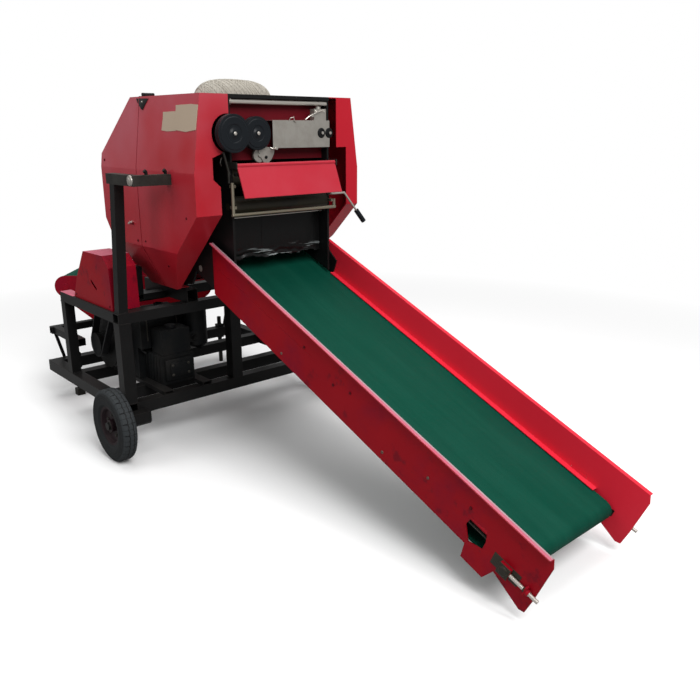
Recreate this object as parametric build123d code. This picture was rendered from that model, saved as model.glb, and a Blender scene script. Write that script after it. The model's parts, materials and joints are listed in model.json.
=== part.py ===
from build123d import *
import math
import os

# A small stationary round baler on a two-wheeled frame, with an infeed conveyor in front
# and a turning wrap table behind. Millimetres. While the pieces are made, X runs forward
# towards the conveyor's low end, Y to the far side, and Z up from the floor. At the end
# everything is moved along X so that the origin is the middle of the machine's outline.

# Frame
RAIL = 60.0
RAIL_WALL = 4.0
BASE_LOW = 180.0
FRAME_HALF_WIDTH = 640.0
FRAME_FRONT_X = -60.0
FRAME_REAR_X = -1052.0
DECK_TOP = 690.0
DECK_BEAM_HEIGHT = 50.0
REAR_LEG = 50.0
REAR_LEG_X = -755.0
ENGINE_RAIL_X = -333.0
DECK_CROSS_X = -505.0
DECK_BRACKET_X = -585.0
SILL_WIDTH = 60.0
SILL_HEIGHT = 65.0

# Bale and chamber
BALE_DIAMETER = 550.0
BALE_WIDTH = 520.0
CHAMBER_X = -60.0
CHAMBER_LIFT = 515.0
CHAMBER_TOP_RISE = 435.0
CHAMBER_FRONT_X = 380.0
ROLLER_DIAMETER = 76.0
ROLLER_SHAFT_RADIUS = 15.0
ROLLER_END_PLAY = 4.0
FIXED_ROLLER_ANGLES = (88, 66, 42, 18, -6, -82)
PLATE_THICKNESS = 10.0
PLATE_SIDE_GAP = 5.0
PLATE_BELT_GAP = 17.0
DOOR_SEAM_X = -133.0
DOOR_SEAM_GAP = 6.0
DOOR_SHELL = 4.0
DOOR_PLATE_INSET = 8.0
DOOR_ROLLER_ANGLES = (112, 135, 158, 181, 204, 227, 250)
HINGE_Y = 366.0
HINGE_LEAF = 40.0
HINGE_LEAF_LENGTH = 50.0
HINGE_LEAF_THICKNESS = 4.0
HINGE_EAR = 9.0
HINGE_PIN = 4.0
HINGE_BARREL = 8.0

# Side covers: heights are taken from the middle of the chamber
COVER_RISE = 16.0
COVER_FACE_Y = 455.0
COVER_TOP_Y = 410.0
COVER_LOW_Y = 350.0
COVER_CREASE_RISE = 133.0
COVER_BEVEL_DROP = 220.0
COVER_LOW_DROP = 430.0
COVER_FOLD_DROP = 43.0
COVER_REAR_LOW_DROP = 117.0
COVER_REAR_HIGH_RISE = 195.0
COVER_FRONT_X = 385.0
COVER_LOW_FRONT_X = -20.0
COVER_LOW_REAR_X = -270.0
COVER_REAR_X = -508.0
COVER_TOP_REAR_X = -226.0
COVER_SHEET = 4.0
COVER_CUT_Y = 330.0
NEAR_CUT_WIDE_Y = 364.0
FAR_CUT_WIDE_Y = 382.0
FAR_CUT_HIGH_Y = 320.0
COVER_CUT_RISE = 218.0

# Wheels and axles
WHEEL_DIAMETER = 350.0
WHEEL_WIDTH = 76.0
WHEEL_X = -28.0
WHEEL_GAP = 80.0
RIM_DIAMETER = 190.0
HUB_RADIUS = 30.0
AXLE_RADIUS = 12.0
TREAD_BLOCKS = 20
TREAD_SLIT = 6.0
TREAD_DEPTH = 7.0
TREAD_SHOULDER = 26.0
HUB_REACH = 26.0
RUNNING_CLEARANCE = 0.05
BODY_CLEARANCE = 0.3
BRACKET_INSET = 96.0
BRACKET_WIDTH = 106.0
BRACKET_BELOW = 35.0
BRACKET_ABOVE = 30.0
BRACKET_REACH = 60.0
BRACKET_BACK = 50.0

# Rear stands
STAND_RADIUS = 13.0
STAND_Y = 490.0
STAND_TOP_Z = 310.0
STAND_FOOT = 44.0
STAND_FOOT_HEIGHT = 40.0
SLEEVE_SIZE = 40.0
SLEEVE_BELOW = 10.0
SLEEVE_ABOVE = 20.0

# Wrap table
TABLE_X = -1050.0
TABLE_TURN = 48.0
TABLE_LENGTH = 910.0
TABLE_WIDTH = 550.0
TABLE_NOSE_RADIUS = 64.0
TABLE_TOP_Z = 700.0
TABLE_LOW_Z = 437.0
TABLE_SLOPE = 39.0
TABLE_PLATE = 5.0
TABLE_ROLLER_RADIUS = 54.0
TABLE_BELT_THICKNESS = 6.0
TABLE_BELT_SAG = 120.0
TABLE_LOW_SAG = 40.0
TABLE_SHAFT_RADIUS = 20.0
PEDESTAL = 90.0
PEDESTAL_GAP = 25.0
SUBFRAME_TUBE = 40.0
SUBFRAME_RISE = 185.0
SUBFRAME_OVERHANG = 20.0
STRAP_WIDTH = 18.0
STRAP_LEAN = 45.0
STRAP_THICKNESS = 5.0
STRAP_LAP = 40.0

# Conveyor
CONVEYOR_SLOPE = 22.1
CONVEYOR_WIDTH = 608.0
CONVEYOR_TOP_X = 275.0
CONVEYOR_DROP = 190.0
CONVEYOR_LENGTH = 1960.0
CONVEYOR_HEAD_S = -30.0
CONVEYOR_DEPTH = 218.0
CONVEYOR_TIP_STEP = 145.0
CONVEYOR_TIP_DEPTH = 258.0
CONVEYOR_LUG_STEP = 275.0
CONVEYOR_LUG_LENGTH = 105.0
CONVEYOR_LUG_DEPTH = 276.0
CONVEYOR_PLATE = 4.0
CONVEYOR_FLANGE = 16.0
BELT_DROP = 130.0
BELT_THICKNESS = 6.0
BELT_SIDE_GAP = 14.0
CONVEYOR_ROLLER_RADIUS = 33.0
HEAD_ROLLER_S = -90.0
TAIL_ROLLER_INSET = 112.0
HEAD_BRACKET = 6.0
HEAD_BRACKET_END = 170.0
TENSION_SLOT = 80.0
TENSION_ROD_RADIUS = 6.0
TIE_RADIUS = 10.0
TIE_PLACES = (0.13, 0.43, 0.74)
SKIRT_WIDTH = 26.0

# Stay post, belt guard, power unit
POST_SIZE = 45.0
POST_X = -88.0
POST_LEAN = 72.0
POST_RISE = 80.0
BAR_START_X = -70.0
BAR_END_X = 192.0
GUARD_INSET = 12.0
GUARD_WIDTH = 138.0
GUARD_SHEET = 3.0
GUARD_SLOT_LENGTH = 73.0
GUARD_SLOT_WIDTH = 14.0
GUARD_SLOT_TURN = -32.0
GUARD_OUTLINE = (
    # X, height over the deck
    (-588.0, 0.0),
    (-538.0, 99.0),
    (-424.0, 252.0),
    (-208.0, 255.0),
    (-147.0, 203.0),
    (-138.0, 0.0),
)
PULLEY_X = -345.0
PULLEY_RISE = 90.0
DRIVE_PULLEY_RADIUS = 80.0
DRIVE_BELT_INSET = 105.0
DRIVE_BELT_WIDTH = 40.0
DRIVE_BELT_THICKNESS = 9.0
FLYWHEEL_X = -555.0
FLYWHEEL_Z = 425.0
FLYWHEEL_RADIUS = 135.0
FLYWHEEL_WIDTH = 45.0
FLYWHEEL_GAP = 25.0
FLYWHEEL_PULLEY_RADIUS = 60.0
ENGINE_REAR_X = -610.0
ENGINE_FRONT_X = -150.0
ENGINE_INSET = 340.0
ENGINE_WIDTH = 260.0
CRANKCASE_LENGTH = 280.0
CRANKCASE_HEIGHT = 170.0
CYLINDER_WIDTH = 180.0
CYLINDER_HEIGHT = 150.0
TANK_REAR_X = -528.0
TANK_LENGTH = 250.0
TANK_HEIGHT = 180.0
HOPPER_LENGTH = 110.0
HOPPER_HEIGHT = 130.0
AIR_CLEANER_RADIUS = 28.0
AIR_CLEANER_HEIGHT = 110.0
BEARER_HEIGHT = 20.0
BEARER_WIDTH = 50.0
BEARER_PITCH = 220.0
GEARBOX_LENGTH = 150.0
GEARBOX_HEIGHT = 140.0
GEARBOX_BASE = 30.0
GEARBOX_INNER_Y = 400.0

# Twine gear, flap and guard at the front: heights from the middle of the chamber
TWINE_PANEL_X = 340.0
PANEL_SHEET = 3.0
PANEL_CAM_Y = -112.0
PANEL_CAM_RISE = 200.0
PANEL_CAM_RADIUS = 30.0
PULLEY_SHAFT_RADIUS = 10.0
NEAR_PULLEY_Y = -282.0
NEAR_PULLEY_RADIUS = 76.0
FAR_PULLEY_Y = -139.0
FAR_PULLEY_RADIUS = 68.0
TWINE_PULLEY_WIDTH = 30.0
TWINE_PULLEY_LIFT = 63.0
ROD_BRACKET_Y = 175.0
ROD_BRACKET_WIDTH = 70.0
ROD_BRACKET_HEIGHT = 50.0
TWINE_PANEL_RISE = 180.0
TWINE_RAIL_X = 400.0
TWINE_RAIL_RISE = 230.0
TWINE_RAIL_HEIGHT = 118.0
TWINE_BALL_X = 100.0
TWINE_BALL_Y = -58.0
TWINE_BALL_RISE = 445.0
TWINE_BALL_RADIUS = 85.0
TWINE_BALL_LENGTH = 400.0
FRONT_ROD_X = 372.0
FRONT_ROD_RADIUS = 10.0
FLAP_TOP_X = 428.0
FLAP_TOP_RISE = 162.0
FLAP_LOW_X = 480.0
FLAP_LOW_RISE = 30.0
FLAP_HALF_WIDTH = 272.0
FLAP_SHEET = 4.0
FLAP_ROD_RADIUS = 6.0
FEED_DRUM_X = 345.0
FEED_DRUM_DROP = 15.0
FEED_DRUM_RADIUS = 44.0
GUARD_BAR_X = 405.0
GUARD_BAR_DROP = 46.0
GUARD_ROD_RADIUS = 7.0
GUARD_ROD_Y = 285.0
GUARD_TOP_RISE = 91.0
CURTAIN_X = 318.0
CURTAIN_SHEET = 4.0
CURTAIN_TOP_DROP = 69.0
CURTAIN_LENGTH = 190.0
CURTAIN_STRIPS = 3
LEVER_RADIUS = 5.0
LEVER_X = 400.0
LEVER_RISE = 16.0
LEVER_SIDE_Y = 355.0
LEVER_TIP_X = 420.0
LEVER_TIP_Y = 416.0
LEVER_TIP_DROP = 71.0
GRIP_RADIUS = 12.0
GRIP_LENGTH = 70.0

# Values that follow
BASE_TOP = BASE_LOW + RAIL
DECK_LOW = DECK_TOP - DECK_BEAM_HEIGHT
RAIL_INNER_Y = FRAME_HALF_WIDTH - RAIL
CHAMBER_Z = DECK_TOP + CHAMBER_LIFT
CHAMBER_BOTTOM_Z = DECK_TOP + SILL_HEIGHT
CHAMBER_TOP_Z = CHAMBER_Z + CHAMBER_TOP_RISE
COVER_TOP_Z = CHAMBER_TOP_Z + COVER_RISE
COVER_CREASE_Z = CHAMBER_Z + COVER_CREASE_RISE
COVER_BEVEL_Z = CHAMBER_Z - COVER_BEVEL_DROP
COVER_LOW_Z = CHAMBER_Z - COVER_LOW_DROP
COVER_FOLD_Z = CHAMBER_Z - COVER_FOLD_DROP
COVER_REAR_LOW_Z = CHAMBER_Z - COVER_REAR_LOW_DROP
COVER_REAR_HIGH_Z = CHAMBER_Z + COVER_REAR_HIGH_RISE
COVER_CUT_TOP_Z = CHAMBER_Z + COVER_CUT_RISE
AXLE_Z = WHEEL_DIAMETER / 2
WHEEL_Y = FRAME_HALF_WIDTH + WHEEL_GAP
BRACKET_Y = FRAME_HALF_WIDTH - BRACKET_INSET
PLATE_INNER_Y = BALE_WIDTH / 2 + PLATE_SIDE_GAP
PLATE_OUTER_Y = PLATE_INNER_Y + PLATE_THICKNESS
ROLLER_PITCH = BALE_DIAMETER / 2 + ROLLER_DIAMETER / 2
FIXED_SEAM_X = DOOR_SEAM_X + DOOR_SEAM_GAP / 2
MOVING_SEAM_X = DOOR_SEAM_X - DOOR_SEAM_GAP / 2
DOOR_HINGE_Z = COVER_TOP_Z + HINGE_BARREL + 1
STAND_X = FRAME_REAR_X + RAIL / 2
SUBFRAME_TOP_Z = BASE_TOP + SUBFRAME_RISE
BEARER_TOP = BASE_TOP + BEARER_HEIGHT
ENGINE_Y = ENGINE_INSET - FRAME_HALF_WIDTH
PEDESTAL_TOP_Z = TABLE_LOW_Z - PEDESTAL_GAP
CONVEYOR_TOP_Z = CHAMBER_Z - CONVEYOR_DROP
CONVEYOR_INNER_Y = CONVEYOR_WIDTH / 2 - CONVEYOR_PLATE
ROLLER_N = -BELT_DROP - BELT_THICKNESS - CONVEYOR_ROLLER_RADIUS
TAIL_ROLLER_S = CONVEYOR_LENGTH - TAIL_ROLLER_INSET
POST_TOP_Z = CHAMBER_Z + POST_RISE
GUARD_OUTER_Y = FRAME_HALF_WIDTH - GUARD_INSET
GUARD_INNER_Y = GUARD_OUTER_Y - GUARD_WIDTH
DRIVE_BASE_Y = GUARD_INNER_Y - GUARD_SHEET
DRIVE_BELT_Y = FRAME_HALF_WIDTH - DRIVE_BELT_INSET
PULLEY_Z = DECK_TOP + PULLEY_RISE
TWINE_RAIL_LOW_Z = CHAMBER_Z + TWINE_RAIL_RISE
PULLEYS_Z = TWINE_RAIL_LOW_Z + TWINE_PULLEY_LIFT
TWINE_BALL_Z = CHAMBER_Z + TWINE_BALL_RISE
TWINE_TRAY_Z = TWINE_BALL_Z - TWINE_BALL_RADIUS - BODY_CLEARANCE
FLAP_TOP_Z = CHAMBER_Z + FLAP_TOP_RISE
FLAP_LOW_Z = CHAMBER_Z + FLAP_LOW_RISE
FEED_DRUM_Z = CHAMBER_Z - FEED_DRUM_DROP
GUARD_BAR_Z = CHAMBER_Z - GUARD_BAR_DROP
GUARD_TOP_Z = CHAMBER_Z + GUARD_TOP_RISE
CURTAIN_TOP_Z = CHAMBER_Z - CURTAIN_TOP_DROP
CURTAIN_LOW_Z = CURTAIN_TOP_Z - CURTAIN_LENGTH
LEVER_Z = CHAMBER_Z + LEVER_RISE
SLOPE = math.radians(CONVEYOR_SLOPE)

nodes = {}


def block(x0, x1, y0, y1, z0, z1):
    """A plain block between two corners."""
    centre = Pos((x0 + x1) / 2, (y0 + y1) / 2, (z0 + z1) / 2)
    return centre * Box(abs(x1 - x0), abs(y1 - y0), abs(z1 - z0))


def outline_xz(points, y0, y1):
    """A closed outline in X and Z, given depth from y0 to y1."""
    return thick_xz(make_face(Polyline(*points, close=True)), y0, y1)


def thick_xz(face, y0, y1):
    """A flat face drawn in X and Z, given depth from y0 to y1."""
    return Pos(0, max(y0, y1), 0) * extrude(Plane.XZ * face, amount=abs(y1 - y0))


def outline_yz(points, x0, x1):
    """A closed outline in Y and Z, given depth from x0 to x1."""
    face = Plane.YZ * make_face(Polyline(*points, close=True))
    return Pos(min(x0, x1), 0, 0) * extrude(face, amount=abs(x1 - x0))


def rod_y(x, z, radius, y0, y1):
    """A round bar along Y."""
    return Pos(x, (y0 + y1) / 2, z) * Rot(90, 0, 0) * Cylinder(radius, abs(y1 - y0))


def rod_x(y, z, radius, x0, x1):
    """A round bar along X."""
    return Pos((x0 + x1) / 2, y, z) * Rot(0, 90, 0) * Cylinder(radius, abs(x1 - x0))


def rod_z(x, y, radius, z0, z1):
    """A round bar along Z."""
    return Pos(x, y, (z0 + z1) / 2) * Cylinder(radius, abs(z1 - z0))


def tube_along(axis, x0, x1, y0, y1, z0, z1, wall=RAIL_WALL):
    """A square or flat tube between two corners, open at its two ends."""
    outer = block(x0, x1, y0, y1, z0, z1)
    inset = {"x": (0, wall, wall), "y": (wall, 0, wall), "z": (wall, wall, 0)}[axis]
    low = [min(x0, x1) + inset[0], min(y0, y1) + inset[1], min(z0, z1) + inset[2]]
    high = [max(x0, x1) - inset[0], max(y0, y1) - inset[1], max(z0, z1) - inset[2]]
    return outer - block(low[0], high[0], low[1], high[1], low[2], high[2])


def both_sides(shape):
    """A shape and its mirror image across the middle plane."""
    return [shape, far_of(shape)]


def far_of(shape):
    """The mirror image of a near-side shape."""
    return mirror(shape, about=Plane.XZ)


def keep(name, *shapes):
    """Store a node made of one solid, or of several that stay apart."""
    solids = []
    for shape in shapes:
        solids.extend(shape.solids())
    nodes[name] = solids


def frame_pieces():
    """The welded base and deck: tubes that meet face to face."""
    outer = FRAME_HALF_WIDTH
    inner = RAIL_INNER_Y
    front = FRAME_FRONT_X - RAIL
    side = tube_along("x", FRAME_REAR_X, FRAME_FRONT_X, -outer, -inner, BASE_LOW, BASE_TOP)
    keep("base_side_rails", *both_sides(side))
    rails = []
    for x in (FRAME_REAR_X, REAR_LEG_X, ENGINE_RAIL_X, front):
        rails.append(tube_along("y", x, x + RAIL, -inner, inner, BASE_LOW, BASE_TOP))
    for sleeve in both_sides(sleeve_block()):
        rails[0] -= sleeve
    keep("base_cross_rails", *rails)
    rear_leg = tube_along("z", REAR_LEG_X, REAR_LEG_X + REAR_LEG, -outer, REAR_LEG - outer,
                          BASE_TOP, DECK_LOW)
    front_leg = tube_along("z", front, FRAME_FRONT_X, -outer, -inner, BASE_TOP, DECK_LOW)
    centre_leg = tube_along("z", front, FRAME_FRONT_X, -RAIL / 2, RAIL / 2, BASE_TOP, DECK_LOW)
    keep("deck_legs", *both_sides(rear_leg), *both_sides(front_leg), centre_leg)
    front_beam = tube_along("y", front, FRAME_FRONT_X, -outer, outer, DECK_LOW, DECK_TOP)
    cross_beam = tube_along("y", DECK_CROSS_X, DECK_CROSS_X + RAIL, -DRIVE_BASE_Y, inner, DECK_LOW, DECK_TOP)
    bracket = tube_along("y", DECK_BRACKET_X, DECK_BRACKET_X + RAIL, -inner, -GEARBOX_INNER_Y,
                         DECK_LOW, DECK_TOP)
    keep("deck_cross_beams", front_beam, cross_beam, bracket)
    side_beam = tube_along("x", REAR_LEG_X, front, -outer, -inner, DECK_LOW, DECK_TOP)
    keep("deck_side_beams", *both_sides(side_beam))
    sill = tube_along("x", DECK_CROSS_X, FRAME_FRONT_X, -PLATE_OUTER_Y, SILL_WIDTH - PLATE_OUTER_Y,
                      DECK_TOP, CHAMBER_BOTTOM_Z)
    keep("chamber_sills", *both_sides(sill))


def axle_pieces():
    """Brackets round the front corners of the base, and the stub axles that they hold."""
    front = FRAME_FRONT_X
    low = AXLE_Z - BRACKET_BELOW
    high = AXLE_Z + BRACKET_ABOVE
    tip = front + BRACKET_REACH
    chamfer = 15.0
    profile = [
        (front - BRACKET_BACK, BASE_LOW), (front, BASE_LOW), (front, high), (tip, high),
        (tip, low + chamfer), (tip - chamfer, low), (front - BRACKET_BACK, low),
    ]
    bracket_end = BRACKET_Y + BRACKET_WIDTH
    axle = outline_xz(profile, -bracket_end, -BRACKET_Y)
    shoulder_end = WHEEL_Y - WHEEL_WIDTH / 2 + 2
    hub_end = WHEEL_Y + HUB_REACH
    washer = 12.0
    axle += rod_y(WHEEL_X, AXLE_Z, AXLE_RADIUS, -hub_end - washer, -BRACKET_Y)
    axle += rod_y(WHEEL_X, AXLE_Z, AXLE_RADIUS + 7, -shoulder_end, -bracket_end)
    axle += rod_y(WHEEL_X, AXLE_Z, AXLE_RADIUS + 7, -hub_end - washer, -hub_end - BODY_CLEARANCE)
    keep("stub_axles", *both_sides(axle))


def wheel_pieces():
    """A block-treaded tyre and a rim with its hub, for each side."""
    half = WHEEL_WIDTH / 2
    outer = WHEEL_DIAMETER / 2
    bead = RIM_DIAMETER / 2
    tyre_profile = [
        (bead, -half + 10), (bead + 12, -half + 2), (bead + 30, -half), (outer - 20, -half),
        (outer - 3, -half + 9), (outer, -half + 16), (outer, half - 16), (outer - 3, half - 9),
        (outer - 20, half), (bead + 30, half), (bead + 12, half - 2), (bead, half - 10),
    ]
    tyre = revolve(Plane.XZ * make_face(Polyline(*tyre_profile, close=True)), Axis.Z)
    slit = Box(2 * TREAD_DEPTH, TREAD_SLIT, TREAD_SHOULDER)
    for level in (-half + TREAD_SHOULDER / 2 - 1, half - TREAD_SHOULDER / 2 + 1):
        tyre -= Pos(0, 0, level) * PolarLocations(outer, TREAD_BLOCKS) * slit
    shoulder = half - 2 - BODY_CLEARANCE
    hub_bore = AXLE_RADIUS + RUNNING_CLEARANCE
    seat = bead - BODY_CLEARANCE
    rim_profile = [
        (hub_bore, -HUB_REACH), (HUB_RADIUS, -HUB_REACH), (HUB_RADIUS, -6), (bead - 20, -10),
        (bead - 11, -half + 12), (seat, -half + 10), (seat, half - 10), (bead - 6, half - 10),
        (bead - 12, -2), (HUB_RADIUS, 4), (HUB_RADIUS - 7, shoulder), (hub_bore, shoulder),
    ]
    rim = revolve(Plane.XZ * make_face(Polyline(*rim_profile, close=True)), Axis.Z)
    for side, sign in (("near", -1), ("far", 1)):
        place = Pos(WHEEL_X, sign * WHEEL_Y, AXLE_Z) * Rot(90 * sign, 0, 0)
        keep("tyre_" + side, place * tyre)
        keep("rim_" + side, place * rim)


def sleeve_block():
    """The outside of the near stand's sleeve, which stands through the rear rail."""
    half = SLEEVE_SIZE / 2
    return block(STAND_X - half, STAND_X + half, -STAND_Y - half, -STAND_Y + half,
                 BASE_LOW - SLEEVE_BELOW, BASE_TOP + SLEEVE_ABOVE)


def stand_pieces():
    """Two round legs that slide up through sleeves in the rear rail. The near one has a foot."""
    sleeve = sleeve_block()
    sleeve -= rod_z(STAND_X, -STAND_Y, STAND_RADIUS + RUNNING_CLEARANCE, 0, STAND_TOP_Z)
    keep("stand_collars", *both_sides(sleeve))
    stand = rod_z(STAND_X, -STAND_Y, STAND_RADIUS, 0, STAND_TOP_Z)
    keep("stand_far", far_of(stand))
    half = STAND_FOOT / 2
    foot = block(STAND_X - half, STAND_X + half, -STAND_Y - half, -STAND_Y + half, 0, STAND_FOOT_HEIGHT)
    keep("stand_near", stand + foot)


def roller_place(angle):
    """The axis of a chamber roller at an angle on the pitch circle."""
    turn = math.radians(angle)
    return CHAMBER_X + ROLLER_PITCH * math.cos(turn), CHAMBER_Z + ROLLER_PITCH * math.sin(turn)


def roller(x, z, radius):
    """A drum with a thinner shaft that runs out to the plates' outer faces."""
    half = PLATE_INNER_Y - ROLLER_END_PLAY
    return rod_y(x, z, radius, -half, half) + rod_y(x, z, ROLLER_SHAFT_RADIUS, -PLATE_OUTER_Y, PLATE_OUTER_Y)


def plate_with_rollers(plate, angles):
    """A chamber plate bored for its rollers, and the rollers."""
    bore = ROLLER_SHAFT_RADIUS + RUNNING_CLEARANCE
    rollers = []
    for angle in angles:
        x, z = roller_place(angle)
        plate -= rod_y(x, z, bore, -PLATE_OUTER_Y - 1, -PLATE_INNER_Y + 1)
        rollers.append(roller(x, z, ROLLER_DIAMETER / 2))
    return plate, rollers


def belt_height(x, above):
    """The height of a line that lies above the conveyor's belt, at a place along X."""
    return CONVEYOR_TOP_Z - (x - CONVEYOR_TOP_X) * math.tan(SLOPE) + (above - BELT_DROP) / math.cos(SLOPE)


def chamber_pieces():
    """The fixed half of the bale chamber: side plates, rollers, top and front panels."""
    front = CHAMBER_FRONT_X
    throat_x = FRAME_FRONT_X + 140
    points = [
        (FIXED_SEAM_X, CHAMBER_TOP_Z), (front, CHAMBER_TOP_Z), (front, belt_height(front, PLATE_BELT_GAP)),
        (throat_x, belt_height(throat_x, PLATE_BELT_GAP)), (throat_x - 20, CHAMBER_BOTTOM_Z + 145),
        (FRAME_FRONT_X + 60, CHAMBER_BOTTOM_Z + 40), (FRAME_FRONT_X, CHAMBER_BOTTOM_Z + 30),
        (FRAME_FRONT_X, CHAMBER_BOTTOM_Z), (FIXED_SEAM_X, CHAMBER_BOTTOM_Z),
    ]
    blank = outline_xz(points, -PLATE_OUTER_Y, -PLATE_INNER_Y)
    plate, rollers = plate_with_rollers(blank, FIXED_ROLLER_ANGLES)
    drum_bore = ROLLER_SHAFT_RADIUS + RUNNING_CLEARANCE
    plate -= rod_y(FEED_DRUM_X, FEED_DRUM_Z, drum_bore, -PLATE_OUTER_Y - 1, -PLATE_INNER_Y + 1)
    keep("chamber_plates", *both_sides(plate))
    keep("chamber_rollers", *rollers)
    keep("feed_drum", roller(FEED_DRUM_X, FEED_DRUM_Z, FEED_DRUM_RADIUS))
    inner = PLATE_INNER_Y
    sheet = PANEL_SHEET
    panel_back = TWINE_PANEL_X - sheet
    tray_x = TWINE_BALL_X - TWINE_BALL_RADIUS - sheet
    tray = block(panel_back, TWINE_PANEL_X, -inner, inner, CHAMBER_Z + TWINE_PANEL_RISE, CHAMBER_TOP_Z)
    tray += block(tray_x, panel_back, -inner, inner, TWINE_TRAY_Z - sheet, TWINE_TRAY_Z)
    tray += block(tray_x - sheet, tray_x, -inner, inner, TWINE_TRAY_Z - sheet, CHAMBER_TOP_Z)
    keep("twine_tray", tray)
    outer = PLATE_OUTER_Y
    beam = block(panel_back, COVER_FRONT_X, -outer, outer, CHAMBER_TOP_Z, COVER_TOP_Z)
    beam -= block(TWINE_PANEL_X, COVER_FRONT_X - 4, -inner, inner, CHAMBER_TOP_Z - 1, COVER_TOP_Z - 4)
    roof = block(FIXED_SEAM_X, tray_x - sheet, -outer, outer, CHAMBER_TOP_Z, COVER_TOP_Z - COVER_RISE / 2)
    keep("top_panels", beam, roof)


def cover_shell(points, inner_points, x0, x1):
    """A folded sheet-metal box, open towards the chamber plate."""
    plate_y = PLATE_OUTER_Y
    sheet = COVER_SHEET
    section = [
        (-plate_y, COVER_TOP_Z), (-COVER_TOP_Y, COVER_TOP_Z), (-COVER_FACE_Y, COVER_CREASE_Z),
        (-COVER_FACE_Y, COVER_BEVEL_Z), (-COVER_LOW_Y, COVER_LOW_Z), (-plate_y, COVER_LOW_Z),
    ]
    hollow = [
        (-plate_y + 1, COVER_TOP_Z - sheet), (-COVER_TOP_Y + sheet, COVER_TOP_Z - sheet),
        (-COVER_FACE_Y + sheet, COVER_CREASE_Z), (-COVER_FACE_Y + sheet, COVER_BEVEL_Z + sheet / 2),
        (-COVER_LOW_Y + sheet / 2, COVER_LOW_Z + sheet), (-plate_y + 1, COVER_LOW_Z + sheet),
    ]
    outer = outline_xz(points, -COVER_FACE_Y - 1, -plate_y) & outline_yz(section, x0, x1)
    inner = outline_xz(inner_points, -COVER_FACE_Y - 1, -plate_y + 1) & outline_yz(hollow, x0, x1)
    return outer - inner


def cover_pieces():
    """The side covers of the fixed half and of the rear door."""
    sheet = COVER_SHEET
    front = COVER_FRONT_X
    fixed = [
        (FIXED_SEAM_X, COVER_TOP_Z), (front, COVER_TOP_Z), (front, COVER_FOLD_Z),
        (COVER_LOW_FRONT_X, COVER_LOW_Z), (FIXED_SEAM_X, COVER_LOW_Z),
    ]
    fixed_hollow = [
        (FIXED_SEAM_X + sheet, COVER_TOP_Z), (front - sheet, COVER_TOP_Z),
        (front - sheet, COVER_FOLD_Z + sheet / 2), (COVER_LOW_FRONT_X - sheet, COVER_LOW_Z + sheet / 2),
        (FIXED_SEAM_X + sheet, COVER_LOW_Z + sheet / 2),
    ]
    blank = cover_shell(fixed, fixed_hollow, FIXED_SEAM_X, front)
    reach = PLATE_OUTER_Y - 1
    through = (front - 30, front + 1)
    cut_top = COVER_CUT_TOP_Z
    cut_low = COVER_FOLD_Z - 1
    near = blank - outline_yz([
        (-reach, cut_top), (-reach, cut_low), (-COVER_CUT_Y, cut_low), (-COVER_CUT_Y, cut_top - 143),
        (-NEAR_CUT_WIDE_Y, cut_top - 113), (-NEAR_CUT_WIDE_Y, cut_top - 23), (-reach - 26, cut_top),
    ], *through)
    near -= rod_x(NEAR_PULLEY_Y, PULLEYS_Z, NEAR_PULLEY_RADIUS + 4, *through)
    slot = [
        (front + 9, COVER_FOLD_Z + 25), (COVER_LOW_FRONT_X - 18, COVER_LOW_Z - 1),
        (front + 9, COVER_LOW_Z - 1),
    ]
    near -= outline_xz(slot, -COVER_CUT_Y, -reach)
    keep("cover_near", near)
    step_z = cut_top + 10
    far = far_of(blank) - outline_yz([
        (reach, step_z), (FAR_CUT_WIDE_Y, step_z), (FAR_CUT_WIDE_Y, cut_low), (reach, cut_low),
    ], *through)
    far -= block(*through, reach, FAR_CUT_HIGH_Y, step_z, COVER_TOP_Z - sheet)
    far -= outline_xz(slot, reach, FAR_CUT_WIDE_Y)
    keep("cover_far", far)
    door = [
        (MOVING_SEAM_X, COVER_TOP_Z), (COVER_TOP_REAR_X, COVER_TOP_Z), (COVER_REAR_X, COVER_REAR_HIGH_Z),
        (COVER_REAR_X, COVER_REAR_LOW_Z), (COVER_LOW_REAR_X, COVER_LOW_Z), (MOVING_SEAM_X, COVER_LOW_Z),
    ]
    door_hollow = [
        (MOVING_SEAM_X - sheet, COVER_TOP_Z), (COVER_TOP_REAR_X + sheet / 2, COVER_TOP_Z),
        (COVER_REAR_X + sheet, COVER_REAR_HIGH_Z - sheet / 2),
        (COVER_REAR_X + sheet, COVER_REAR_LOW_Z + sheet / 2),
        (COVER_LOW_REAR_X + sheet, COVER_LOW_Z), (MOVING_SEAM_X - sheet, COVER_LOW_Z),
    ]
    door_cover = cover_shell(door, door_hollow, COVER_REAR_X, MOVING_SEAM_X)
    keep("door_covers", *both_sides(door_cover))


def door_outline(sheet):
    """The rear door's outline in X and Z, or with a sheet thickness the hollow inside its shell."""
    rear_x = COVER_REAR_X + DOOR_PLATE_INSET + sheet
    low_z = COVER_LOW_Z + COVER_SHEET + sheet
    seam_x = MOVING_SEAM_X + (1 if sheet else 0)
    return [
        (seam_x, CHAMBER_TOP_Z - sheet), (COVER_TOP_REAR_X + sheet / 2, CHAMBER_TOP_Z - sheet),
        (rear_x, COVER_REAR_HIGH_Z - sheet / 2), (rear_x, COVER_REAR_LOW_Z + sheet / 2),
        (COVER_LOW_REAR_X + sheet / 2, low_z), (seam_x, low_z),
    ]


def door_pieces():
    """The rear door: side plates, rollers and the bent shell between them."""
    blank = outline_xz(door_outline(0), -PLATE_OUTER_Y, -PLATE_INNER_Y)
    plate, rollers = plate_with_rollers(blank, DOOR_ROLLER_ANGLES)
    keep("door_plates", *both_sides(plate))
    keep("door_rollers", *rollers)
    half = PLATE_INNER_Y
    shell = outline_xz(door_outline(0), -half, half) - outline_xz(door_outline(DOOR_SHELL), -half, half)
    keep("door_shell", shell)


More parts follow.
